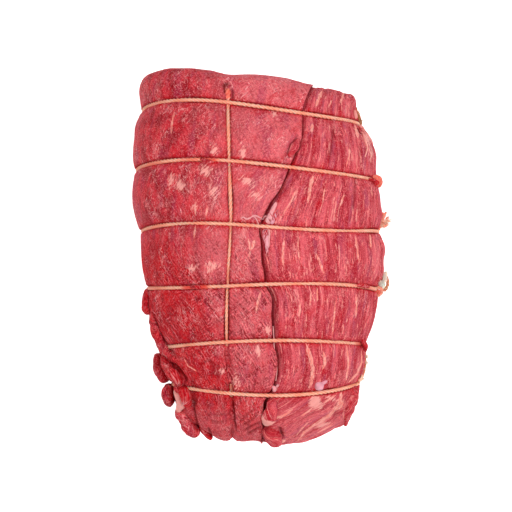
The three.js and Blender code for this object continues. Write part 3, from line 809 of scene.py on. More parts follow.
class Surface:
    """A material and its nodes."""

    def __init__(self, name, **constants):
        self.material = bpy.data.materials.new(name)
        self.material.use_nodes = True
        self.tree = self.material.node_tree
        self.shader = self.tree.nodes["Principled BSDF"]
        for socket, value in constants.items():
            self.shader.inputs[socket.replace("_", " ")].default_value = value

    def node(self, kind, inputs, output=0, **settings):
        made = self.tree.nodes.new("ShaderNode" + kind)
        for name, value in settings.items():
            setattr(made, name, value)
        for socket, value in inputs.items():
            self.join(value, made.inputs[socket])
        return made.outputs[output]

    def join(self, value, socket):
        if isinstance(value, bpy.types.NodeSocket):
            self.tree.links.new(value, socket)
        elif isinstance(value, tuple) and len(value) == 3 and socket.type == "RGBA":
            socket.default_value = (*value, 1)
        else:
            socket.default_value = value

    def attribute(self, name, output="Fac"):
        return self.node("Attribute", {}, output, attribute_name=name)

    def stretched(self, vector, size):
        return self.node("VectorMath", {0: vector, 1: tuple(1 / s for s in size)}, operation="MULTIPLY")

    def turned(self, vector, degrees, size):
        turn = self.node("VectorRotate", {"Vector": vector, "Angle": degrees * DEG}, rotation_type="Z_AXIS")
        return self.stretched(turn, size)

    def noise(self, vector, detail=3, roughness=0.55, distortion=0.0):
        inputs = {"Vector": vector, "Scale": 1, "Detail": detail, "Roughness": roughness}
        return self.node("TexNoise", {**inputs, "Distortion": distortion})

    def ripples(self, vector, spacing):
        """Wandering ridges, spacing mm apart."""
        inputs = {"Vector": vector, "Scale": math.pi / 10 / spacing, "Distortion": 8}
        return self.node("TexWave", {**inputs, "Detail": 2.5, "Detail Scale": 0.85}, "Fac")

    def math(self, operation, a, b=0.0):
        return self.node("Math", {0: a, 1: b}, operation=operation)

    def times(self, first, *others):
        for other in others:
            first = self.math("MULTIPLY", first, other)
        return first

    def plus(self, a, b):
        return self.math("ADD", a, b)

    def minus(self, a, b):
        return self.math("SUBTRACT", a, b)

    def between(self, share, a, b):
        """A number between two others."""
        return self.node("Mix", {"Factor": share, 2: a, 3: b})

    def step(self, value, low, high):
        inputs = {"Value": value, "From Min": low, "From Max": high}
        return self.node("MapRange", inputs, interpolation_type="SMOOTHSTEP")

    def blend(self, a, b, share):
        return self.node("Mix", {"Factor": share, 6: a, 7: b}, 2, data_type="RGBA")

    def painted(self, colour, layers):
        """A colour under layers, each of a colour of 0 to 255 and the factors of its share."""
        for shade, *shares in layers:
            colour = self.blend(colour, linear(*shade), self.times(*shares))
        return colour

    def bump(self, height, distance, strength=1.0, normal=None):
        inputs = {"Height": height, "Distance": distance, "Strength": strength}
        if normal:
            inputs["Normal"] = normal
        return self.node("Bump", inputs)

    def finish(self, **sockets):
        for socket, value in sockets.items():
            self.join(value, self.shader.inputs[socket.replace("_", " ")])
        return self.material


def beef():
    s = Surface(
        "beef",
        Subsurface_Weight=0.15,
        Subsurface_Radius=(1.0, 0.22, 0.16),
        Subsurface_Scale=0.0015,
        Specular_IOR_Level=0.0,
        Coat_Weight=0.04,
        Coat_Roughness=0.16,
        Coat_IOR=2.0,
    )
    grain = s.attribute("grain", "Vector")
    right = s.attribute("right")
    deep_red = s.attribute("deep_red")
    marked = s.attribute("coarse")
    not_right = s.minus(1.0, right)

    def grained(size, *looks, turn=None):
        return s.noise(s.turned(grain, turn, size) if turn else s.stretched(grain, size), *looks)

    # muscle: deeper and lighter reds in soft patches, and in long bands on the right
    patches = grained((5, 8, 5), 4, 0.62)
    tone = s.between(right, patches, grained((2.6, 30, 8), 3, 0.6))
    deep = s.blend(linear(150, 4, 24), linear(174, 38, 54), right)
    bright = s.blend(linear(214, 46, 58), linear(221, 92, 102), right)
    colour = s.blend(deep, bright, s.step(tone, 0.4, 0.6))
    colour = s.blend(colour, linear(230, 108, 116), s.attribute("pale"))
    purple = s.step(grained((3.4, 24, 8), 2), 0.54, 0.64)
    lilac = s.blend(linear(176, 56, 86), linear(172, 76, 104), right)
    colour = s.blend(colour, lilac, s.times(purple, 0.5))
    stripes = s.step(grained((2.6, 50, 9), 2), 0.5, 0.62)
    maroon = s.step(grained((4.4, 5.4, 4.4), 3, 0.6, 0.8), 0.54, 0.64)
    blood = s.step(grained((4, 7, 4), 2), 0.54, 0.68)
    redder = s.plus(s.times(s.step(patches, 0.4, 0.58), 0.5), 0.5)
    colour = s.painted(colour, [
        ((170, 8, 30), stripes, right, 0.5),
        ((140, 8, 34), maroon, not_right, marked, 0.4),
        ((202, 4, 18), s.plus(s.times(blood, 0.4), s.times(deep_red, redder))),
    ])

    # fibres: on the left short strokes that cross each other, on the right long threads
    leaning = grained((0.9, 5.2, 1.4), 2, 0.6, 0.25, turn=33)
    falling = grained((0.8, 6.4, 1.4), 2, 0.6, 0.25, turn=-36)
    busy = s.step(grained((4.5, 6, 4.5), 2, 0.5), 0.42, 0.6)
    coarse = s.times(marked, s.plus(s.times(busy, 0.9), 0.4))
    strokes = s.math("MAXIMUM", s.minus(leaning, s.times(coarse, 0.06)), falling)
    threads = grained((0.42, 9, 0.7), 2, 0.6)
    light = s.between(right, s.step(strokes, 0.56, 0.66), s.step(threads, 0.53, 0.62))
    dark = s.between(right, s.step(strokes, 0.52, 0.45), s.step(threads, 0.46, 0.36))
    left = s.minus(1.0, s.times(right, 0.75))
    pores = grained((0.75, 0.95, 0.75), 2, 0.6)
    pits = s.step(grained((1.5, 2.4, 1.5), 2, 0.6, 0.4), 0.42, 0.35)
    worn = s.step(grained((8, 12, 8), 3, 0.6), 0.4, 0.62)
    dry = s.minus(1.0, s.times(deep_red, 0.5))
    shown = s.times(coarse, s.plus(s.times(worn, 0.36), 0.26), dry, s.plus(s.times(right, 0.35), 1.0))
    where = grained((5, 6, 5), 2)
    is_steep = s.step(where, 0.5, 0.6)
    is_level = s.step(where, 0.46, 0.38)
    steep = s.times(s.ripples(s.turned(grain, -28, (1, 1, 1)), 1.4), is_steep)
    level = s.times(s.ripples(s.turned(grain, 62, (1, 1, 1)), 1.3), is_level)
    ripples = s.plus(steep, level)
    rippled = s.times(s.plus(is_steep, is_level), not_right)
    grit = grained((0.4, 0.5, 0.4), 1, 0.5)
    colour = s.painted(colour, [
        ((124, 0, 16), dark, coarse, 0.52),
        ((246, 108, 114), light, shown),
        ((142, 2, 20), s.step(pores, 0.46, 0.35), left, 0.32),
        ((122, 0, 16), pits, left, coarse, 0.26),
        ((250, 134, 136), s.step(pores, 0.56, 0.68), left, shown),
        ((248, 132, 140), s.step(ripples, 0.62, 0.9), rippled, coarse, 0.3),
        ((112, 0, 14), s.step(grit, 0.44, 0.34), coarse, 0.3),
        ((250, 140, 142), s.step(grit, 0.56, 0.66), dry, 0.45),
        ((140, 4, 24), s.step(ripples, 0.35, 0.1), rippled, 0.25),
    ])

    # thin threads of gristle, painted highlights as small pale glints in clusters, and marbling, mostly on
    # the right
    web = grained((4.2, 8, 4.2), 3, 0.6, 0.6)
    web = s.step(s.math("ABSOLUTE", s.minus(web, 0.5)), 0.022, 0.004)
    clusters = s.step(grained((8, 12, 8), 3), 0.46, 0.62)
    flecks = grained((0.7, 1.7, 0.7), 2, 0.55, 0.25)
    rising = grained((0.4, 3.0, 0.9), 1, 0.5, turn=36)
    sinking = grained((0.4, 2.4, 0.9), 1, 0.5, turn=-34)
    # painted highlights: crossing glints on the left and small flecks on the right
    painted_glints = s.math("MAXIMUM", s.step(rising, 0.65, 0.72), s.step(sinking, 0.65, 0.72))
    painted_glints = s.between(right, painted_glints, s.step(flecks, 0.67, 0.76))
    marble = grained((0.8, 12, 1.8), 2, 0.5, 0.3)
    marble = s.times(s.step(marble, 0.61, 0.66), s.step(flecks, 0.38, 0.5))
    colour = s.painted(colour, [
        ((246, 150, 148), web, clusters, 0.6),
        ((252, 184, 186), painted_glints, s.plus(s.times(clusters, 0.6), 0.2), 0.8),
        ((250, 160, 152), marble, s.plus(s.times(right, 0.55), 0.12)),
    ])

    # streaks and patches of fat, and the painted shade of creases, cracks, dents, the seam and the lines
    # beside the ties
    side = s.math("ABSOLUTE", s.attribute("streak_side"))
    wobble = grained((0.8, 2.0, 0.8), 3, 0.7)
    reach = s.times(s.attribute("streak_reach"), wobble, 2.3)
    streak = s.step(s.minus(reach, side), -0.35, 0.35)
    broken = s.plus(s.times(s.step(flecks, 0.36, 0.52), 0.4), 0.42)
    streak_colour = s.blend(linear(248, 138, 124), linear(252, 182, 168), s.step(wobble, 0.4, 0.6))
    colour = s.blend(colour, streak_colour, s.times(streak, broken))
    ragged = s.minus(s.between(0.35, leaning, flecks), 0.5)
    fat = s.step(s.plus(s.attribute("fat"), s.times(ragged, 4.6)), -0.15, 0.5)
    fat_colour = s.blend(linear(252, 176, 166), linear(240, 176, 190), s.attribute("pink"))
    colour = s.blend(colour, fat_colour, s.times(fat, 0.78))
    # painted shade, dark red, where creases, cracks, dents and the seam would lie in shadow
    colour = s.blend(colour, linear(98, 0, 4), s.times(s.attribute("crease"), 0.92))

    height = s.plus(s.times(light, 0.5), s.times(patches, 1.8))
    height = s.plus(height, s.plus(s.times(web, 0.4), s.times(strokes, 0.9)))
    height = s.plus(height, s.times(ripples, rippled, 0.22))
    height = s.minus(height, s.times(pits, left, 0.3))
    rough = s.plus(s.times(pores, 0.3), 0.3)
    normal = s.bump(pores, 0.0004, 0.35, s.bump(height, 0.0011, 0.5))
    wet = s.bump(height, 0.0011, 0.3)
    return s.finish(Base_Color=colour, Roughness=rough, Normal=normal, Coat_Normal=wet)


def cotton():
    s = Surface(
        "cotton",
        Subsurface_Weight=0.7,
        Subsurface_Radius=(1.0, 0.5, 0.35),
        Subsurface_Scale=0.0018,
        Specular_IOR_Level=0.15,
        Sheen_Weight=0.04,
        Sheen_Roughness=0.5,
    )
    lay = s.attribute("lay", "Vector")
    fibres = s.noise(s.stretched(lay, (0.14, 1.2, 1)), 2)
    stains = s.noise(s.stretched(lay, (40, 14, 1)), 2)
    colour = s.blend(linear(255, 158, 128), linear(255, 204, 180), s.step(fibres, 0.35, 0.65))
    colour = s.painted(colour, [
        ((254, 144, 116), s.step(stains, 0.42, 0.66), 0.7),
        # the valleys between the plies painted a deeper orange: a painted shade
        ((250, 120, 96), s.attribute("valley_shade"), 0.45),
        ((246, 232, 208), s.attribute("dry")),
        ((158, 98, 52), s.attribute("aged")),
        ((226, 42, 38), s.attribute("blood")),
    ])
    rough = s.plus(s.times(fibres, 0.2), 0.5)
    return s.finish(Base_Color=colour, Roughness=rough, Normal=s.bump(fibres, 0.00012, 0.6))


# Loose flaps, lumps and bits of the meat, each along a line of pixels of the photo. A row gives a
# pixel, a height in mm, half the width in pixels and half the thickness in mm. Heights are over the
# barrel, over the skin where the row says on, and over the floor where it says level.
FLAPS = [
    dict(red=1, level=1, line=[
        (148.2, 289, 52, 3, 4), (147.4, 297, 51, 5, 6), (146.9, 306, 50, 5.6, 6.4),
        (148.6, 314, 49, 4.4, 5),
    ]),
    dict(red=0.5, on=1, line=[
        (152.5, 312, -1, 3.4, 4), (154.6, 322, -0.5, 4.8, 4), (157, 334, 0.4, 5.6, 3.4),
        (161.6, 345, 1.6, 5.6, 2.6), (168, 353.6, 0.8, 4.2, 2), (175, 361, 0, 2, 1.4),
    ]),
    dict(red=0.3, level=1, line=[
        (158.4, 353, 40, 3.4, 5), (158.4, 362, 40, 5.4, 7), (161.6, 372, 40, 6.4, 7),
        (167.4, 382, 40, 4.6, 5),
    ]),
    dict(red=0.7, on=1, line=[
        (161.6, 356, 0.4, 3, 3), (165.6, 363, 1.6, 5, 3.4), (171, 371, 2.6, 5.8, 3.6),
        (176, 378, 2.8, 5.2, 3.4), (180, 384, 1.6, 4, 2.6),
    ]),
    dict(red=0.3, level=1, line=[
        (171, 383.6, 42, 3.4, 4), (168.6, 391, 42, 5.6, 6), (168.4, 399, 42, 5.6, 6),
        (170.6, 407, 42, 3.4, 4),
    ]),
    dict(red=1, on=1, line=[
        (175, 385, 1, 3.4, 3), (181.4, 387.4, 2.4, 5.6, 3.2), (186, 395, 1.8, 5.6, 3.2),
        (188, 404, 0.4, 3.2, 2.4),
    ]),
    dict(fat=1.3, on=1, line=[
        (175.6, 391.6, 3.2, 1.8, 1.2), (179.4, 396.4, 4.6, 4.6, 1.4), (182, 402, 4, 5.4, 1.4),
        (178.4, 410, 1.6, 2.6, 1.4),
    ]),
    dict(red=0.2, level=1, line=[
        (179, 405, 42, 4.2, 5), (183, 414, 42, 7.4, 7), (189.4, 425, 42, 8.2, 7),
        (196.4, 434, 40, 5.4, 6),
    ]),
    dict(red=0.9, level=1, line=[(200, 425, 44, 2.6, 3), (205, 432, 42, 3.6, 4), (211, 438, 40, 3, 3)]),
    dict(red=0.35, right=1, fat=0.9, fat_from=0.64, line=[
        (273, 399, 0.6, 6.4, 1.6), (272, 405, 1.4, 5.2, 2), (272, 411, 2, 6, 2.2),
        (268.8, 418, 2.4, 7, 2.2), (265.6, 425, 2.2, 3.2, 1.6),
    ]),
    dict(red=0.4, right=1, line=[
        (270.4, 426.4, 0.5, 3.4, 3), (270.4, 431, 1.8, 7, 3.6), (272.8, 436, 2.4, 8.4, 4),
        (276.8, 441, 1.6, 6.4, 3.2),
    ]),
    dict(fat=1.2, line=[
        (279.6, 441.4, 6.4, 2.2, 1.2), (282.4, 440.6, 6.6, 2.6, 1.4), (285.6, 440, 6, 1.6, 1.2),
    ]),
    dict(red=0.2, right=1, line=[
        (352.6, 386, -1.6, 6, 3), (352.6, 394, -0.6, 7.4, 3.6), (350.2, 402, 0.8, 6.4, 4),
        (347.4, 411, 2.2, 5, 4), (346, 419, 3.2, 3.8, 3), (345.6, 426, 3.6, 1.6, 1.6),
    ]),
    dict(red=0.6, line=[(362.4, 341, 5, 1.6, 1.8), (364.2, 344.6, 6, 2.8, 2.4), (364.6, 349, 5, 2, 1.8)]),
    dict(red=0.9, line=[(371, 179.5, 4, 1.8, 2), (374.6, 182, 6, 2.4, 2.4), (374.6, 186, 5, 1.8, 1.8)]),
    dict(fat=1.3, on=1, line=[
        (354.2, 110, 0.2, 1, 0.8), (355.4, 115, 0.5, 2.4, 1), (355.8, 119, 0.4, 3, 1),
    ]),
    dict(right=1, fat=0.5, line=[
        (359.6, 125.4, 0.3, 1.4, 1.2), (362.4, 130.4, 0.9, 2.6, 1.7), (366, 137, 1.6, 3.4, 2),
        (369.4, 144, 1.8, 3.6, 2), (371.6, 151, 1.2, 2.6, 1.8), (372.4, 158, 0.6, 1.4, 1.2),
    ]),
    dict(fat=1.2, on=1, line=[
        (362.4, 132, 0.6, 0.8, 0.5), (365, 140, 0.8, 0.9, 0.5), (367.2, 147, 0.8, 0.9, 0.5),
        (366.4, 152, 0.5, 0.8, 0.4), (364.8, 157, 0.2, 0.6, 0.3),
    ]),
    dict(red=0.25, right=1, line=[
        (298.6, 139, 3.6, 1.7, 1), (294, 148, 4.4, 3.6, 1.4), (289, 157.4, 3.4, 2.2, 1.1),
    ]),
    dict(red=0.6, line=[
        (357, 284.3, 0.5, 1.6, 0.7), (361, 285, 1, 2.3, 0.9), (365, 285.9, 1, 2.3, 0.9),
        (368.6, 286.6, 0.5, 1.4, 0.6),
    ]),
    dict(red=1, line=[
        (190, 286.4, 0.4, 1.6, 0.6), (195.5, 287, 0.8, 2.4, 0.9), (201, 287.6, 0.4, 1.6, 0.6),
    ]),
    dict(red=1, line=[
        (200, 159, 0.2, 1.2, 0.5), (205, 160.4, 0.6, 2, 0.8), (210, 161.6, 0.6, 2, 0.8),
        (214, 162.4, 0.2, 1.2, 0.5),
    ]),
    dict(fat=0.5, pink=0.5, on=1, line=[
        (276.8, 202, 0.3, 1.3, 0.45), (273.6, 208, 0.4, 1.9, 0.5), (270.6, 214, 0.4, 2.3, 0.5),
        (269.4, 219, 0.4, 3.4, 0.6), (268.8, 224, 0.6, 3.4, 0.5),
    ]),
    dict(fat=0.35, pink=1, on=1, line=[
        (278, 209.5, 0.1, 1, 0.4), (275.6, 215, 0.2, 1.5, 0.45), (273, 220, 0.3, 1.8, 0.45),
        (271.4, 224, 0.4, 1.5, 0.4),
    ]),
    dict(fat=1.3, pink=0.5, on=1, line=[
        (267, 216, 0.6, 1.1, 0.4), (264.4, 216.8, 0.7, 1.1, 0.4), (263, 219.2, 0.8, 0.9, 0.4),
        (260.8, 218.2, 0.7, 0.8, 0.35), (258, 216.6, 0.5, 0.8, 0.3), (255, 215.6, 0.4, 0.7, 0.3),
        (252, 215.4, 0.2, 0.5, 0.25),
    ]),
    dict(fat=1.3, pink=0.5, on=1, line=[
        (241, 218.4, 0.2, 0.5, 0.22), (243.6, 217.2, 0.5, 0.6, 0.25), (246, 218.8, 0.4, 0.7, 0.25),
        (249.5, 218.2, 0.4, 0.7, 0.3), (252.6, 216.4, 0.5, 0.7, 0.3), (255, 217.4, 0.5, 0.6, 0.25),
        (257, 220.4, 0.6, 0.6, 0.25), (258.4, 224, 0.9, 0.5, 0.22),
    ]),
    dict(fat=1.3, pink=0.3, on=1, line=[
        (267.6, 223, 0.9, 0.7, 0.3), (266, 220.4, 0.9, 0.7, 0.3), (267.4, 217.6, 0.9, 0.8, 0.35),
        (270, 215.6, 0.8, 0.8, 0.35),
    ]),
    dict(fat=0.3, pink=0.8, on=1, line=[
        (265.6, 229, 0.5, 4.2, 0.5), (266, 236, 0.5, 3.5, 0.55), (267, 243, 0.4, 2.3, 0.5),
        (267.2, 251, 0.3, 1.6, 0.4), (267.4, 257, 0, 0.6, 0.3),
    ]),
    dict(fat=1.3, pink=0.4, on=1, line=[
        (269.2, 229.6, 0.8, 0.7, 0.35), (269.2, 238, 0.8, 0.8, 0.35), (268.8, 247, 0.6, 0.6, 0.3),
    ]),
    dict(fat=1.4, pink=0.3, on=1, line=[
        (273, 326, 0.8, 0.45, 0.2), (273.8, 337, 1.2, 0.55, 0.22), (274.4, 350, 1.4, 0.55, 0.22),
        (276, 360, 1.2, 0.5, 0.22), (277, 370, 1, 0.5, 0.2), (275.8, 381, 0.8, 0.45, 0.2),
    ]),
    dict(fat=1.4, pink=1, line=[
        (316.4, 382.6, 1.6, 2.6, 1.5), (318.6, 386, 1.6, 4.4, 2.4), (318.8, 389, 1, 3.6, 2),
    ]),
    dict(fat=1, pink=1, line=[
        (321.6, 384.4, 1.6, 1.6, 1), (324.4, 382.6, 2, 1.9, 1.1), (327, 380.6, 2, 1.3, 0.8),
    ]),
    dict(fat=1.3, pink=0.6, line=[
        (272, 386, 0.8, 1.4, 1.1), (274.4, 388.6, 0.8, 2.3, 1.4), (273.8, 391.2, 0.6, 1.7, 1.2),
    ]),
    dict(fat=1.3, pink=0.6, line=[(276.6, 387, 1, 1.1, 0.8), (278.4, 384.4, 1.2, 1.3, 0.9)]),
]
FLAP_SIDES = 40
FLAP_POWER = 0.85 # under 1 its section is squarer than an ellipse
FLAP_FADE = 0.12 # the share of a flap over which its fat begins
HANG = 9 # how far a flap that lies on the skin may reach down from its top
BARREL_SEARCH = (100.0, 8.0, -0.5) # the heights that are tried, from the top down


def curve(rows, shares):
    """Values on a smooth curve through rows, at shares of its way from the first to the last."""
    rows = np.array(rows, float)
    at = shares * (len(rows) - 1)
    i = np.clip(np.floor(at).astype(int), 0, len(rows) - 2)
    return smooth_curve(rows, np.gradient(rows, axis=0), i, (at - i)[:, None])


def from_pixels(u, v, z):
    """Points at heights that show at pixels of the photo."""
    up = np.zeros_like(u)
    for _ in range(4):
        forward = (z - CAMERA_TARGET[2] - up * math.cos(CAMERA_ELEVATION)) / math.sin(CAMERA_ELEVATION)
        scale = PIXELS_PER_SLOPE / (CAMERA_DISTANCE - forward)
        up = (PHOTO_SIZE / 2 - v) / scale
    x = (u - PHOTO_SIZE / 2) / scale
    y = up * math.sin(CAMERA_ELEVATION) - forward * math.cos(CAMERA_ELEVATION)
    return np.stack([x, y, z], -1), scale


def barrel_height(u, v):
    """The heights at which the barrel shows at pixels, or passes nearest to them."""
    z = np.arange(*BARREL_SEARCH)
    points, _ = from_pixels(*np.broadcast_arrays(u[:, None], v[:, None], z[None]))
    points[..., 1] -= stray_at(points[..., 0], points[..., 1])
    share = barrel(points)
    inside = share < 1
    return np.where(inside.any(1), z[inside.argmax(1)], z[share.argmin(1)])


def joined(parts):
    """Lists of points, faces and values, put together."""
    points = np.concatenate([part[0] for part in parts])
    faces = []
    start = 0
    for made, part_faces, _ in parts:
        faces += [tuple(start + v for v in face) for face in part_faces]
        start += len(made)
    values = {name: np.concatenate([part[2][name] for part in parts]) for name in parts[0][2]}
    return points, faces, values


def tube_faces(count, sides, closed):
    """Faces between rings of points, with a face over each end where the tube isn't closed."""
    faces = []
    for i in range(count if closed else count - 1):
        here, there = i * sides, (i + 1) % count * sides
        for k in range(sides):
            after = (k + 1) % sides
            faces.append((here + k, here + after, there + after, there + k))
    if not closed:
        faces.append(tuple(reversed(range(sides))))
        faces.append(tuple((count - 1) * sides + k for k in range(sides)))
    return faces


FACING_CAMERA = 0.05
UPPER_HALF = 20
NEIGHBOURS = 5


class Heights:
    """The heights at which a grid of points shows at pixels."""

    def __init__(self, grid):
        seen = (grid_normals(grid)[..., 2] > FACING_CAMERA) & (grid[..., 2] > UPPER_HALF)
        self.z = grid[seen][:, 2]
        self.tree = kdtree.KDTree(len(self.z))
        for i, (u, v) in enumerate(to_pixels(grid[seen]).tolist()):
            self.tree.insert((u, v, 0), i)
        self.tree.balance()

    def at(self, u, v):
        found = [self.tree.find_n((a, b, 0), NEIGHBOURS) for a, b in zip(u.tolist(), v.tolist())]
        return np.array([self.z[[i for _, i, _ in near]].mean() for near in found])


def length_along(points):
    return np.concatenate([[0], np.cumsum(np.linalg.norm(np.diff(points, axis=0), axis=1))])


def flap(row, seed, heights):
    """One flap, as points, faces and values."""
    line = np.array(row["line"], float)
    if row.get("on"):
        line[:, 2] += heights.at(line[:, 0], line[:, 1])
        line[:, 2] = np.maximum(line[:, 2], line[:, 2].max() - HANG)
    elif not row.get("level"):
        line[:, 2] += barrel_height(line[:, 0], line[:, 1])
    steps = 16 * len(line)
    shares = (1 - np.cos(math.pi * np.linspace(0, 1, steps))) / 2
    u, v, z, wide, thick = curve(line, shares).T
    middle, scale = from_pixels(u, v, z)
    wide = wide / scale
    passed = length_along(middle)
    to_end = np.minimum(passed, passed[-1] - passed) / np.minimum(wide, 0.45 * passed[-1])
    cap = np.sqrt(1 - (1 - np.clip(to_end, 0.002, 1)) ** 2)
    tangent = unit(np.gradient(middle, axis=0))
    side = unit(np.cross(tangent, [0, 0, 1]))
    lift = np.cross(side, tangent)[:, None]
    side = side[:, None]
    angle = -2 * math.pi * np.arange(FLAP_SIDES) / FLAP_SIDES
    c, s = np.cos(angle), np.sin(angle)
    across = (wide * cap)[:, None] * (np.sign(c) * abs(c) ** FLAP_POWER)[None]
    upright = (thick * cap)[:, None] * (np.sign(s) * abs(s) ** FLAP_POWER)[None]
    points = middle[:, None] + across[..., None] * side + upright[..., None] * lift
    outward = unit(c[None, :, None] * side + s[None, :, None] * lift)
    rough = 1.0 * swells(points, 5.5, seed) + 0.4 * swells(points, 2.4, seed + 40)
    points = points + outward * (rough * np.minimum(cap, np.minimum(wide, thick) / 2)[:, None])[..., None]
    size = points.shape[:2]
    along_it = np.broadcast_to(passed[:, None], size)
    grain = np.stack([angle[None] * wide[:, None], along_it, np.full(size, 20.0 * seed)], -1)
    share = np.broadcast_to(shares[:, None], size)
    fat_from = row.get("fat_from", -0.2)
    fat = mix(-1, row.get("fat", -1), smooth(fat_from, fat_from + FLAP_FADE, share))
    even = dict(right=row.get("right", 0), deep_red=row.get("red", 0), pink=row.get("pink", 0))
    even.update(crease=0, pale=0, coarse=1, streak_side=99, streak_reach=0)
    values = {name: np.full(fat.size, float(value)) for name, value in even.items()}
    values.update(fat=fat.ravel(), grain=grain.reshape(-1, 3))
    return points.reshape(-1, 3), tube_faces(steps, FLAP_SIDES, False), values


SEAM_ROUNDS = 6
SEAM_ANGLES = (0.4, 1.35) # the seam stays between these


def make_meat(material):
    """The roast's object, and the heights of its surface."""
    y, polar = (np.array(v)[:, None] for v in zip(*rows()))
    seam = np.full(y.shape, 1.0)
    for _ in range(SEAM_ROUNDS):
        seam = np.clip(seam_angle(Rays(y, polar, seam))[0], *SEAM_ANGLES)
    angle = np.stack([columns(v) for v in seam[:, 0].tolist()])
    grid, grain, values = relieved(*skin(Rays(y, polar, angle)))
    count, size = grid.shape[:2]
    ends = np.stack([grid[0].mean(0), grid[-1].mean(0)])
    faces = tube_faces(count, size, False)[:-2]
    first, last = count * size, count * size + 1
    tail = (count - 1) * size
    for k in range(size):
        after = (k + 1) % size
        faces.append((first, after, k))
        faces.append((last, tail + k, tail + after))
    closed = {"grain": np.concatenate([grain.reshape(-1, 3), grain_of(ends)])}
    for name, value in values.items():
        closed[name] = np.concatenate([value.ravel(), [value[0].mean(), value[-1].mean()]])
    points = np.concatenate([grid.reshape(-1, 3), ends])
    return new_object("roast", material, points, faces, closed), Heights(grid)


# The twine is laid from plies
PLIES = 3
PLY_R = 0.56 # a share of the twine's radius, as is PLY_OUT
PLY_OUT = 0.46
PITCH = 6.0
TWINE_STEP = 0.4
TWINE_SIDES = 20
SOAKED_SHADED_UNDER = 0.5 # how bloody the side that lies on the meat is: a juice stain, and a painted shade on that side and the edges


def resampled(points, step, closed):
    """The points of a line, at even steps along it."""
    line = np.concatenate([points, points[:1]]) if closed else points
    passed = length_along(line)
    count = max(int(round(passed[-1] / step)), 2)
    at = np.linspace(0, passed[-1], count + 1)
    made = np.stack([np.interp(at, passed, line[:, i]) for i in range(3)], -1)
    return (made[:-1] if closed else made), passed[-1]


def frames_along(points, closed):
    """Two directions across a line at each of its points, turning as little as they can."""
    if closed:
        tangent = unit(np.roll(points, -1, axis=0) - np.roll(points, 1, axis=0))
    else:
        tangent = unit(np.gradient(points, axis=0))
    across = np.empty_like(points)
    across[0] = unit(np.cross(tangent[0], [0.3, 0.2, 0.93]))
    for i in range(1, len(points)):
        v = across[i - 1] - tangent[i] * (across[i - 1] @ tangent[i])
        across[i] = v / np.linalg.norm(v)
    other = np.cross(tangent, across)
    if not closed:
        return across, other
    v = across[-1] - tangent[0] * (across[-1] @ tangent[0])
    gap = math.atan2(v @ other[0], v @ across[0])
    turn = -gap * np.arange(len(points)) / len(points)
    c, s = np.cos(turn)[:, None], np.sin(turn)[:, None]
    return across * c + other * s, other * c - across * s


def rings(points, frames, size, angle):
    """A ring of points round each point of a line."""
    across, other = (v[:, None] for v in frames)
    c, s = np.cos(angle)[..., None], np.sin(angle)[..., None]
    return points[:, None] + size[..., None] * (across * c + other * s)


def rope(line, radius=TWINE_R, closed=False, blood=0.0, dry=0.0, aged=0.0, taper=None):
    """Laid twine along a line, as points, faces and values."""
    points, length = resampled(line, TWINE_STEP, closed)
    turns = round(length / PITCH * PLIES) / PLIES
    count = len(points)
    share = np.arange(count) / (count if closed else count - 1)
    angle = 2 * math.pi * np.arange(TWINE_SIDES) / TWINE_SIDES
    from_ply = (angle + math.pi / PLIES) % (2 * math.pi / PLIES) - math.pi / PLIES
    profile = PLY_OUT * np.cos(from_ply) + np.sqrt(PLY_R**2 - (PLY_OUT * np.sin(from_ply)) ** 2)
    turned = angle[None, :] + 2 * math.pi * turns * share[:, None]
    size = profile[None, :] * (radius(points)[:, None] if callable(radius) else radius)
    size = size * (taper(share)[:, None] if taper else 1)
    ring = rings(points, frames_along(points, closed), size, turned)
    lay = np.stack(np.broadcast_arrays(angle[None] * TWINE_R, share[:, None] * length, 0.0), -1)
    # how deep in a valley between the plies each ring point lies, for the painted shade there
    valley_shade = (PLY_OUT + PLY_R - profile) / (PLY_OUT + PLY_R - profile.min())
    stain = blood(points) if callable(blood) else np.full(count, blood)
    stain = np.repeat(stain, TWINE_SIDES)
    if closed:
        outward = unit(points - points.mean(0))
        above = (unit(ring - points[:, None]) * outward[:, None]).sum(-1).ravel()
        # the edges and the side towards the meat are painted red: partly a juice stain, partly a painted
        # shade
        stain = np.maximum(stain, SOAKED_SHADED_UNDER * smooth(0.75, 0.1, above))
    values = dict(
        lay=lay.reshape(-1, 3),
        valley_shade=np.broadcast_to(valley_shade, ring.shape[:2]).ravel(),
        blood=stain,
        dry=np.full(count * TWINE_SIDES, float(dry)),
        aged=np.full(count * TWINE_SIDES, float(aged)),
    )
    return ring.reshape(-1, 3), tube_faces(count, TWINE_SIDES, closed), values


HAIR_R = 0.075
HAIR_SIDES = 5
HAIR_BEND = 0.25
HAIR_ROOTS = 0.35 # how far round the place the fibres start


def hairs(at, toward, spread, length, count, dry, aged, seed):
    """Loose fibres that stand out from a place, about one way, as points, faces and values."""
    random = np.random.default_rng(seed)
    parts = []
    for _ in range(count):
        way = unit(unit(np.array(toward, float)) + spread * random.normal(size=3))
        bend = random.normal(size=3) * HAIR_BEND
        reach = length * random.uniform(0.45, 1.1)
        start = at + random.normal(size=3) * HAIR_ROOTS
        t = np.linspace(0, 1, 7)[:, None]
        line = start + reach * (t * way + t**2 * bend)
        angle = 2 * math.pi * np.arange(HAIR_SIDES) / HAIR_SIDES
        ring = rings(line, frames_along(line, False), HAIR_R * (1.15 - 0.8 * t), angle)
        total = len(line) * HAIR_SIDES
        values = dict(
            lay=np.tile([random.uniform(0, 50), 0, 0], (total, 1)),
            valley_shade=np.zeros(total),
            blood=np.zeros(total),
            dry=np.full(total, float(dry)),
            aged=np.full(total, float(aged)),
        )
        parts.append((ring.reshape(-1, 3), tube_faces(len(line), HAIR_SIDES, False), values))
    return joined(parts)


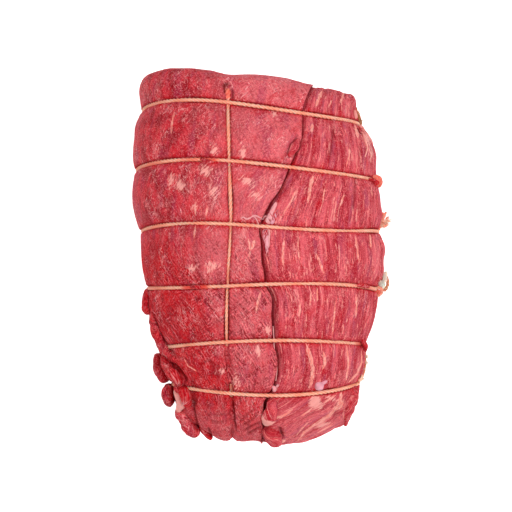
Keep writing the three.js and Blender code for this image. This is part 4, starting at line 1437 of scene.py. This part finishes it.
TIE_OVER = 0.12 # how far the twine's line lies over the offsets that shape its grooves
LONG_OVER = 0.25
TIE_POINTS = 400
LOOP_POINTS = 40


def tie_line(k):
    angle = np.linspace(0, 2 * math.pi, TIE_POINTS, endpoint=False)
    return strayed(Rays(TIES[k]["y"], math.pi / 2, angle).off_barrel(TIE_AT + TIE_OVER))


def lengthwise_line():
    made = rows()
    over = [(CUT_FAN, 0.0, 1), *((y, polar, 1) for y, polar in made), (FOLDED_FAN, math.pi, 1)]
    under = [(y, polar, -1) for y, polar in reversed(made)]
    y, polar, way = (np.array(v) for v in zip(*over, *under))
    rays = Rays(y, polar, way * math.pi / 2)
    return strayed(rays.off_barrel(long_offset(rays.at(rays.bare), rays.way) + LONG_OVER))


def long_radius(points):
    """The lengthwise twine is thick where it comes out, and pulled thin from the third tie on."""
    thick = smooth(TIES[0]["y"] + 1, LONG_OUT - 3, points[:, 1]) * smooth(30, 60, points[:, 2])
    thin = smooth(TIES[2]["y"] + 8, TIES[2]["y"] - 8, points[:, 1])
    return TWINE_R * (1 + 0.6 * thick - 0.2 * thin)


def blood_at(*stretches):
    """How much a twine's points are soaked."""
    def stain(points):
        pixels = to_pixels(points)
        found = np.zeros(len(points))
        for at, half, share in stretches:
            away = np.linalg.norm(pixels - np.array(at), axis=-1) / half
            found = np.maximum(found, share * smooth(1.3, 0.6, away))
        return found
    return stain


# The soaked stretches of each tie: the middle in pixels, half the length and how much
SOAKED = [
    [((160, 100), 8, 0.2)],
    [((209, 161), 9, 0.75), ((150, 165), 16, 0.3), ((190, 159), 10, 0.3)],
    [((150, 228), 16, 0.15)],
    [((196, 287), 14, 0.85), ((150, 290), 8, 0.3), ((362, 284), 10, 0.4)],
    [((362, 345), 8, 0.6)],
    [((178, 385), 8, 0.5)],
]
SOAKED_ALONG = [((228, 91), 8, 0.6), ((227, 340), 6, 0.3), ((230, 385), 8, 0.25)]


# Loops and loose ends of each tie's knot: size, how bloody, dry and aged, and the line in pixels
# of the photo and heights in mm
KNOT_LOOPS = [
    [
        (0.8, 0, 0, 0.8, [(355.2, 106, 50), (356.8, 112, 51), (359, 118, 52), (361.4, 125, 52)]),
        (0.5, 0, 0, 0.45, [(356.6, 110, 52), (359, 114, 52), (360.4, 119, 52), (362, 124, 52)]),
    ],
    [
        (1.35, 0.55, 0, 0, [
            (371, 180.5, 53), (374, 177.5, 52), (378.3, 177.7, 50), (380.2, 181, 48), (379.4, 185, 46),
            (376.6, 186.4, 45),
        ]),
        (1.1, 0.7, 0, 0, [
            (373, 184, 54), (375, 180, 54), (377.4, 182, 52), (376.4, 185, 50), (374, 185.4, 50),
        ]),
    ],
    [
        (0.8, 0.35, 0, 0, [
            (375, 231, 54), (379, 229, 53), (381, 224, 51), (383.5, 218, 49), (386, 212, 47),
        ]),
        (0.85, 0.15, 0, 0, [(378.5, 229, 52), (382.5, 225, 51), (386, 221, 49), (388.4, 216.5, 48)]),
        (0.8, 0.4, 0, 0, [(379, 223, 52), (382, 219.6, 51), (383.4, 215, 50), (381, 212.5, 50)]),
        (0.8, 0.25, 0, 0, [(380, 226, 51), (384.5, 226.4, 50), (388, 223.4, 49)]),
        (0.6, 0.1, 0, 0, [(381, 221, 52), (385, 221.6, 51), (389.6, 220.8, 50)]),
    ],
    [
        (1.05, 0.25, 0, 0, [
            (371, 287, 56), (374, 289, 55), (377.4, 287, 55), (380.8, 288.6, 54), (381.4, 292, 53),
            (379, 295, 53), (375.6, 294.4, 54), (374, 291, 55),
        ]),
        (0.9, 0.7, 0, 0, [(376, 292.6, 54), (378, 290.4, 54), (379.2, 292.6, 54), (377.2, 294, 54)]),
        (1, 0, 1, 0, [(383, 288.6, 53), (383.4, 282, 54), (384.8, 276, 53), (386.2, 271.6, 52)]),
        (0.6, 0, 1, 0, [(384, 288, 55), (381.6, 284.4, 56), (378.2, 281.6, 56)]),
        (0.55, 0, 1, 0, [(382.6, 287, 56), (380.4, 282, 56), (379.8, 278, 55)]),
        (0.8, 0, 0, 0.85, [(382, 279, 51), (380, 275, 52), (381, 272, 52), (383.6, 273, 51)]),
        (0.85, 0, 0, 0.65, [
            (384.4, 289.4, 53), (387.4, 286, 51), (387.6, 280.4, 50), (386.4, 275.6, 50),
        ]),
        (0.85, 0.3, 0, 0.5, [
            (380.4, 286.6, 53), (382, 289.8, 53), (385.2, 290, 52), (387.2, 287.4, 51),
        ]),
    ],
    [],
    [
        (0.5, 0, 0, 0.5, [
            (355, 384.2, 54), (359, 382, 54), (362.2, 378, 53), (364.2, 372, 52), (365.4, 365, 51),
            (365.6, 358, 51), (365.2, 352, 50),
        ]),
        (0.85, 0, 0.2, 0, [(358.6, 381.6, 55), (361.4, 378.6, 55), (362.8, 375, 54)]),
    ],
]
# Frayed twine of each tie: a pixel and height, the way it points along X, Y and Z, how far the
# fibres spread, their length in mm and number, and how dry and aged they are
FRAYS = [
    [
        ((357.5, 113, 51), (0.6, 0.8, 0), 0.35, 1.5, 16, 0.5, 0.5),
        ((360.6, 121, 52), (1, 0.2, 0), 0.35, 1.2, 20, 0.5, 0.6),
    ],
    [
        ((378, 187, 45), (0.2, -1, 0), 0.35, 3.4, 18, 1, 0),
    ],
    [
        ((385, 214, 47), (0.3, 1, 0), 0.35, 2.2, 16, 0.2, 0),
        ((387, 220.5, 49), (1, 0.05, 0), 0.14, 4, 14, 0.2, 0),
        ((384.5, 222, 50), (0.7, 0.1, 0.3), 0.6, 2.8, 40, 0.3, 0),
        ((386, 224.5, 49), (0.6, -0.8, 0), 0.35, 1.8, 16, 0.3, 0),
    ],
    [
        ((383, 287, 54), (0.15, 1, 0.1), 0.14, 6.6, 40, 1, 0),
        ((382, 286, 56), (-0.5, 0.8, 0.3), 0.2, 3, 24, 1, 0),
        ((386.6, 278, 51), (0.2, 1, 0), 0.35, 2.6, 14, 0.5, 0.5),
    ],
    [],
    [
        ((366, 357, 51), (0.8, 0.5, 0), 0.6, 1.7, 36, 1, 0),
        ((366, 362.5, 51), (0.8, -0.2, 0), 0.6, 1.6, 36, 1, 0),
        ((364.6, 369, 52), (0.8, -0.5, 0), 0.35, 1.2, 16, 0.6, 0),
        ((361.4, 378, 54), (0.5, -0.6, 0.3), 0.6, 1.8, 36, 0.5, 0),
    ],
]


def blunt_ends(share):
    return 0.55 + 0.45 * smooth(0, 0.12, share) * smooth(1, 0.88, share)


def knot_parts(k):
    """The loops and frayed ends of a tie's knot."""
    parts = []
    for size, blood, dry, aged, line in KNOT_LOOPS[k]:
        points, _ = from_pixels(*curve(line, np.linspace(0, 1, LOOP_POINTS)).T)
        parts.append(rope(points, TWINE_R * size, False, blood, dry, aged, blunt_ends))
    for i, (at, *looks) in enumerate(FRAYS[k]):
        points, _ = from_pixels(*np.array(at, float)[:, None])
        parts.append(hairs(points[0], *looks, 10 * k + i))
    return parts


def make_twine():
    material = cotton()
    made = []
    for k in range(len(TIES)):
        ring = rope(tie_line(k), closed=True, blood=blood_at(*SOAKED[k]))
        made.append((f"twine_{k + 1}", f"twine_tie_{k + 1}", [ring, *knot_parts(k)]))
    along_it = rope(lengthwise_line(), long_radius, closed=True, blood=blood_at(*SOAKED_ALONG))
    made.append(("twine_along", "twine_lengthwise", [along_it]))
    for name, node, parts in made:
        piece = new_object(name, material, *joined(parts))
        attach(piece, "root")
        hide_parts(node)


def make_camera():
    data = bpy.data.cameras.new("camera")
    data.sensor_width = SENSOR
    data.lens = PIXELS_PER_SLOPE * SENSOR / PHOTO_SIZE
    camera = bpy.data.objects.new("camera", data)
    back = Vector((0, -math.cos(CAMERA_ELEVATION), math.sin(CAMERA_ELEVATION)))
    target = Vector((CAMERA_TARGET - MIDDLE) * METRE)
    camera.location = target + back * CAMERA_DISTANCE * METRE
    camera.rotation_mode = "QUATERNION"
    camera.rotation_quaternion = back.to_track_quat("Z", "Y")
    bpy.context.scene.collection.objects.link(camera)
    bpy.context.scene.camera = camera


# Name, watts, size and place, in the units of the scene
LIGHTS = [
    ("softbox", 6.9, 0.42, (0.3, -0.02, 0.96)),
    ("small_softbox", 2.5, 0.12, (-0.38, -0.05, 0.92)),
]
FLOOR_HALF = 3000
FLOOR_GLOW = 0.8
WORLD_GLOW = 0.27
WHITE = (1, 1, 1, 1)


def make_stage():
    surface = Surface("floor", Emission_Color=WHITE, Emission_Strength=FLOOR_GLOW)
    material = surface.finish(Base_Color=(0.9, 0.9, 0.9), Roughness=0.6)
    corners = FLOOR_HALF * np.array([[-1, -1, 0], [1, -1, 0], [1, 1, 0], [-1, 1, 0]], float)
    floor = new_object("floor", material, corners, [(0, 1, 2, 3)])
    world = bpy.data.worlds.new("studio")
    world.use_nodes = True
    background = world.node_tree.nodes["Background"].inputs
    background["Color"].default_value = WHITE
    background["Strength"].default_value = WORLD_GLOW
    bpy.context.scene.world = world
    for name, watts, size, place in LIGHTS:
        light = bpy.data.lights.new(name, "AREA")
        light.energy = watts
        light.size = size
        lamp = bpy.data.objects.new(name, light)
        lamp.location = place
        lamp.rotation_euler = Vector(place).to_track_quat("Z", "Y").to_euler()
        bpy.context.scene.collection.objects.link(lamp)
    bpy.context.scene.view_settings.view_transform = "Standard"


make_camera()
make_stage()
meat_material = beef()
roast, heights = make_meat(meat_material)
flaps = joined([flap(row, seed + 1, heights) for seed, row in enumerate(FLAPS)])
for meat in (roast, new_object("roast_flaps", meat_material, *flaps)):
    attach(meat, "root")
    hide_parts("meat")
make_twine()
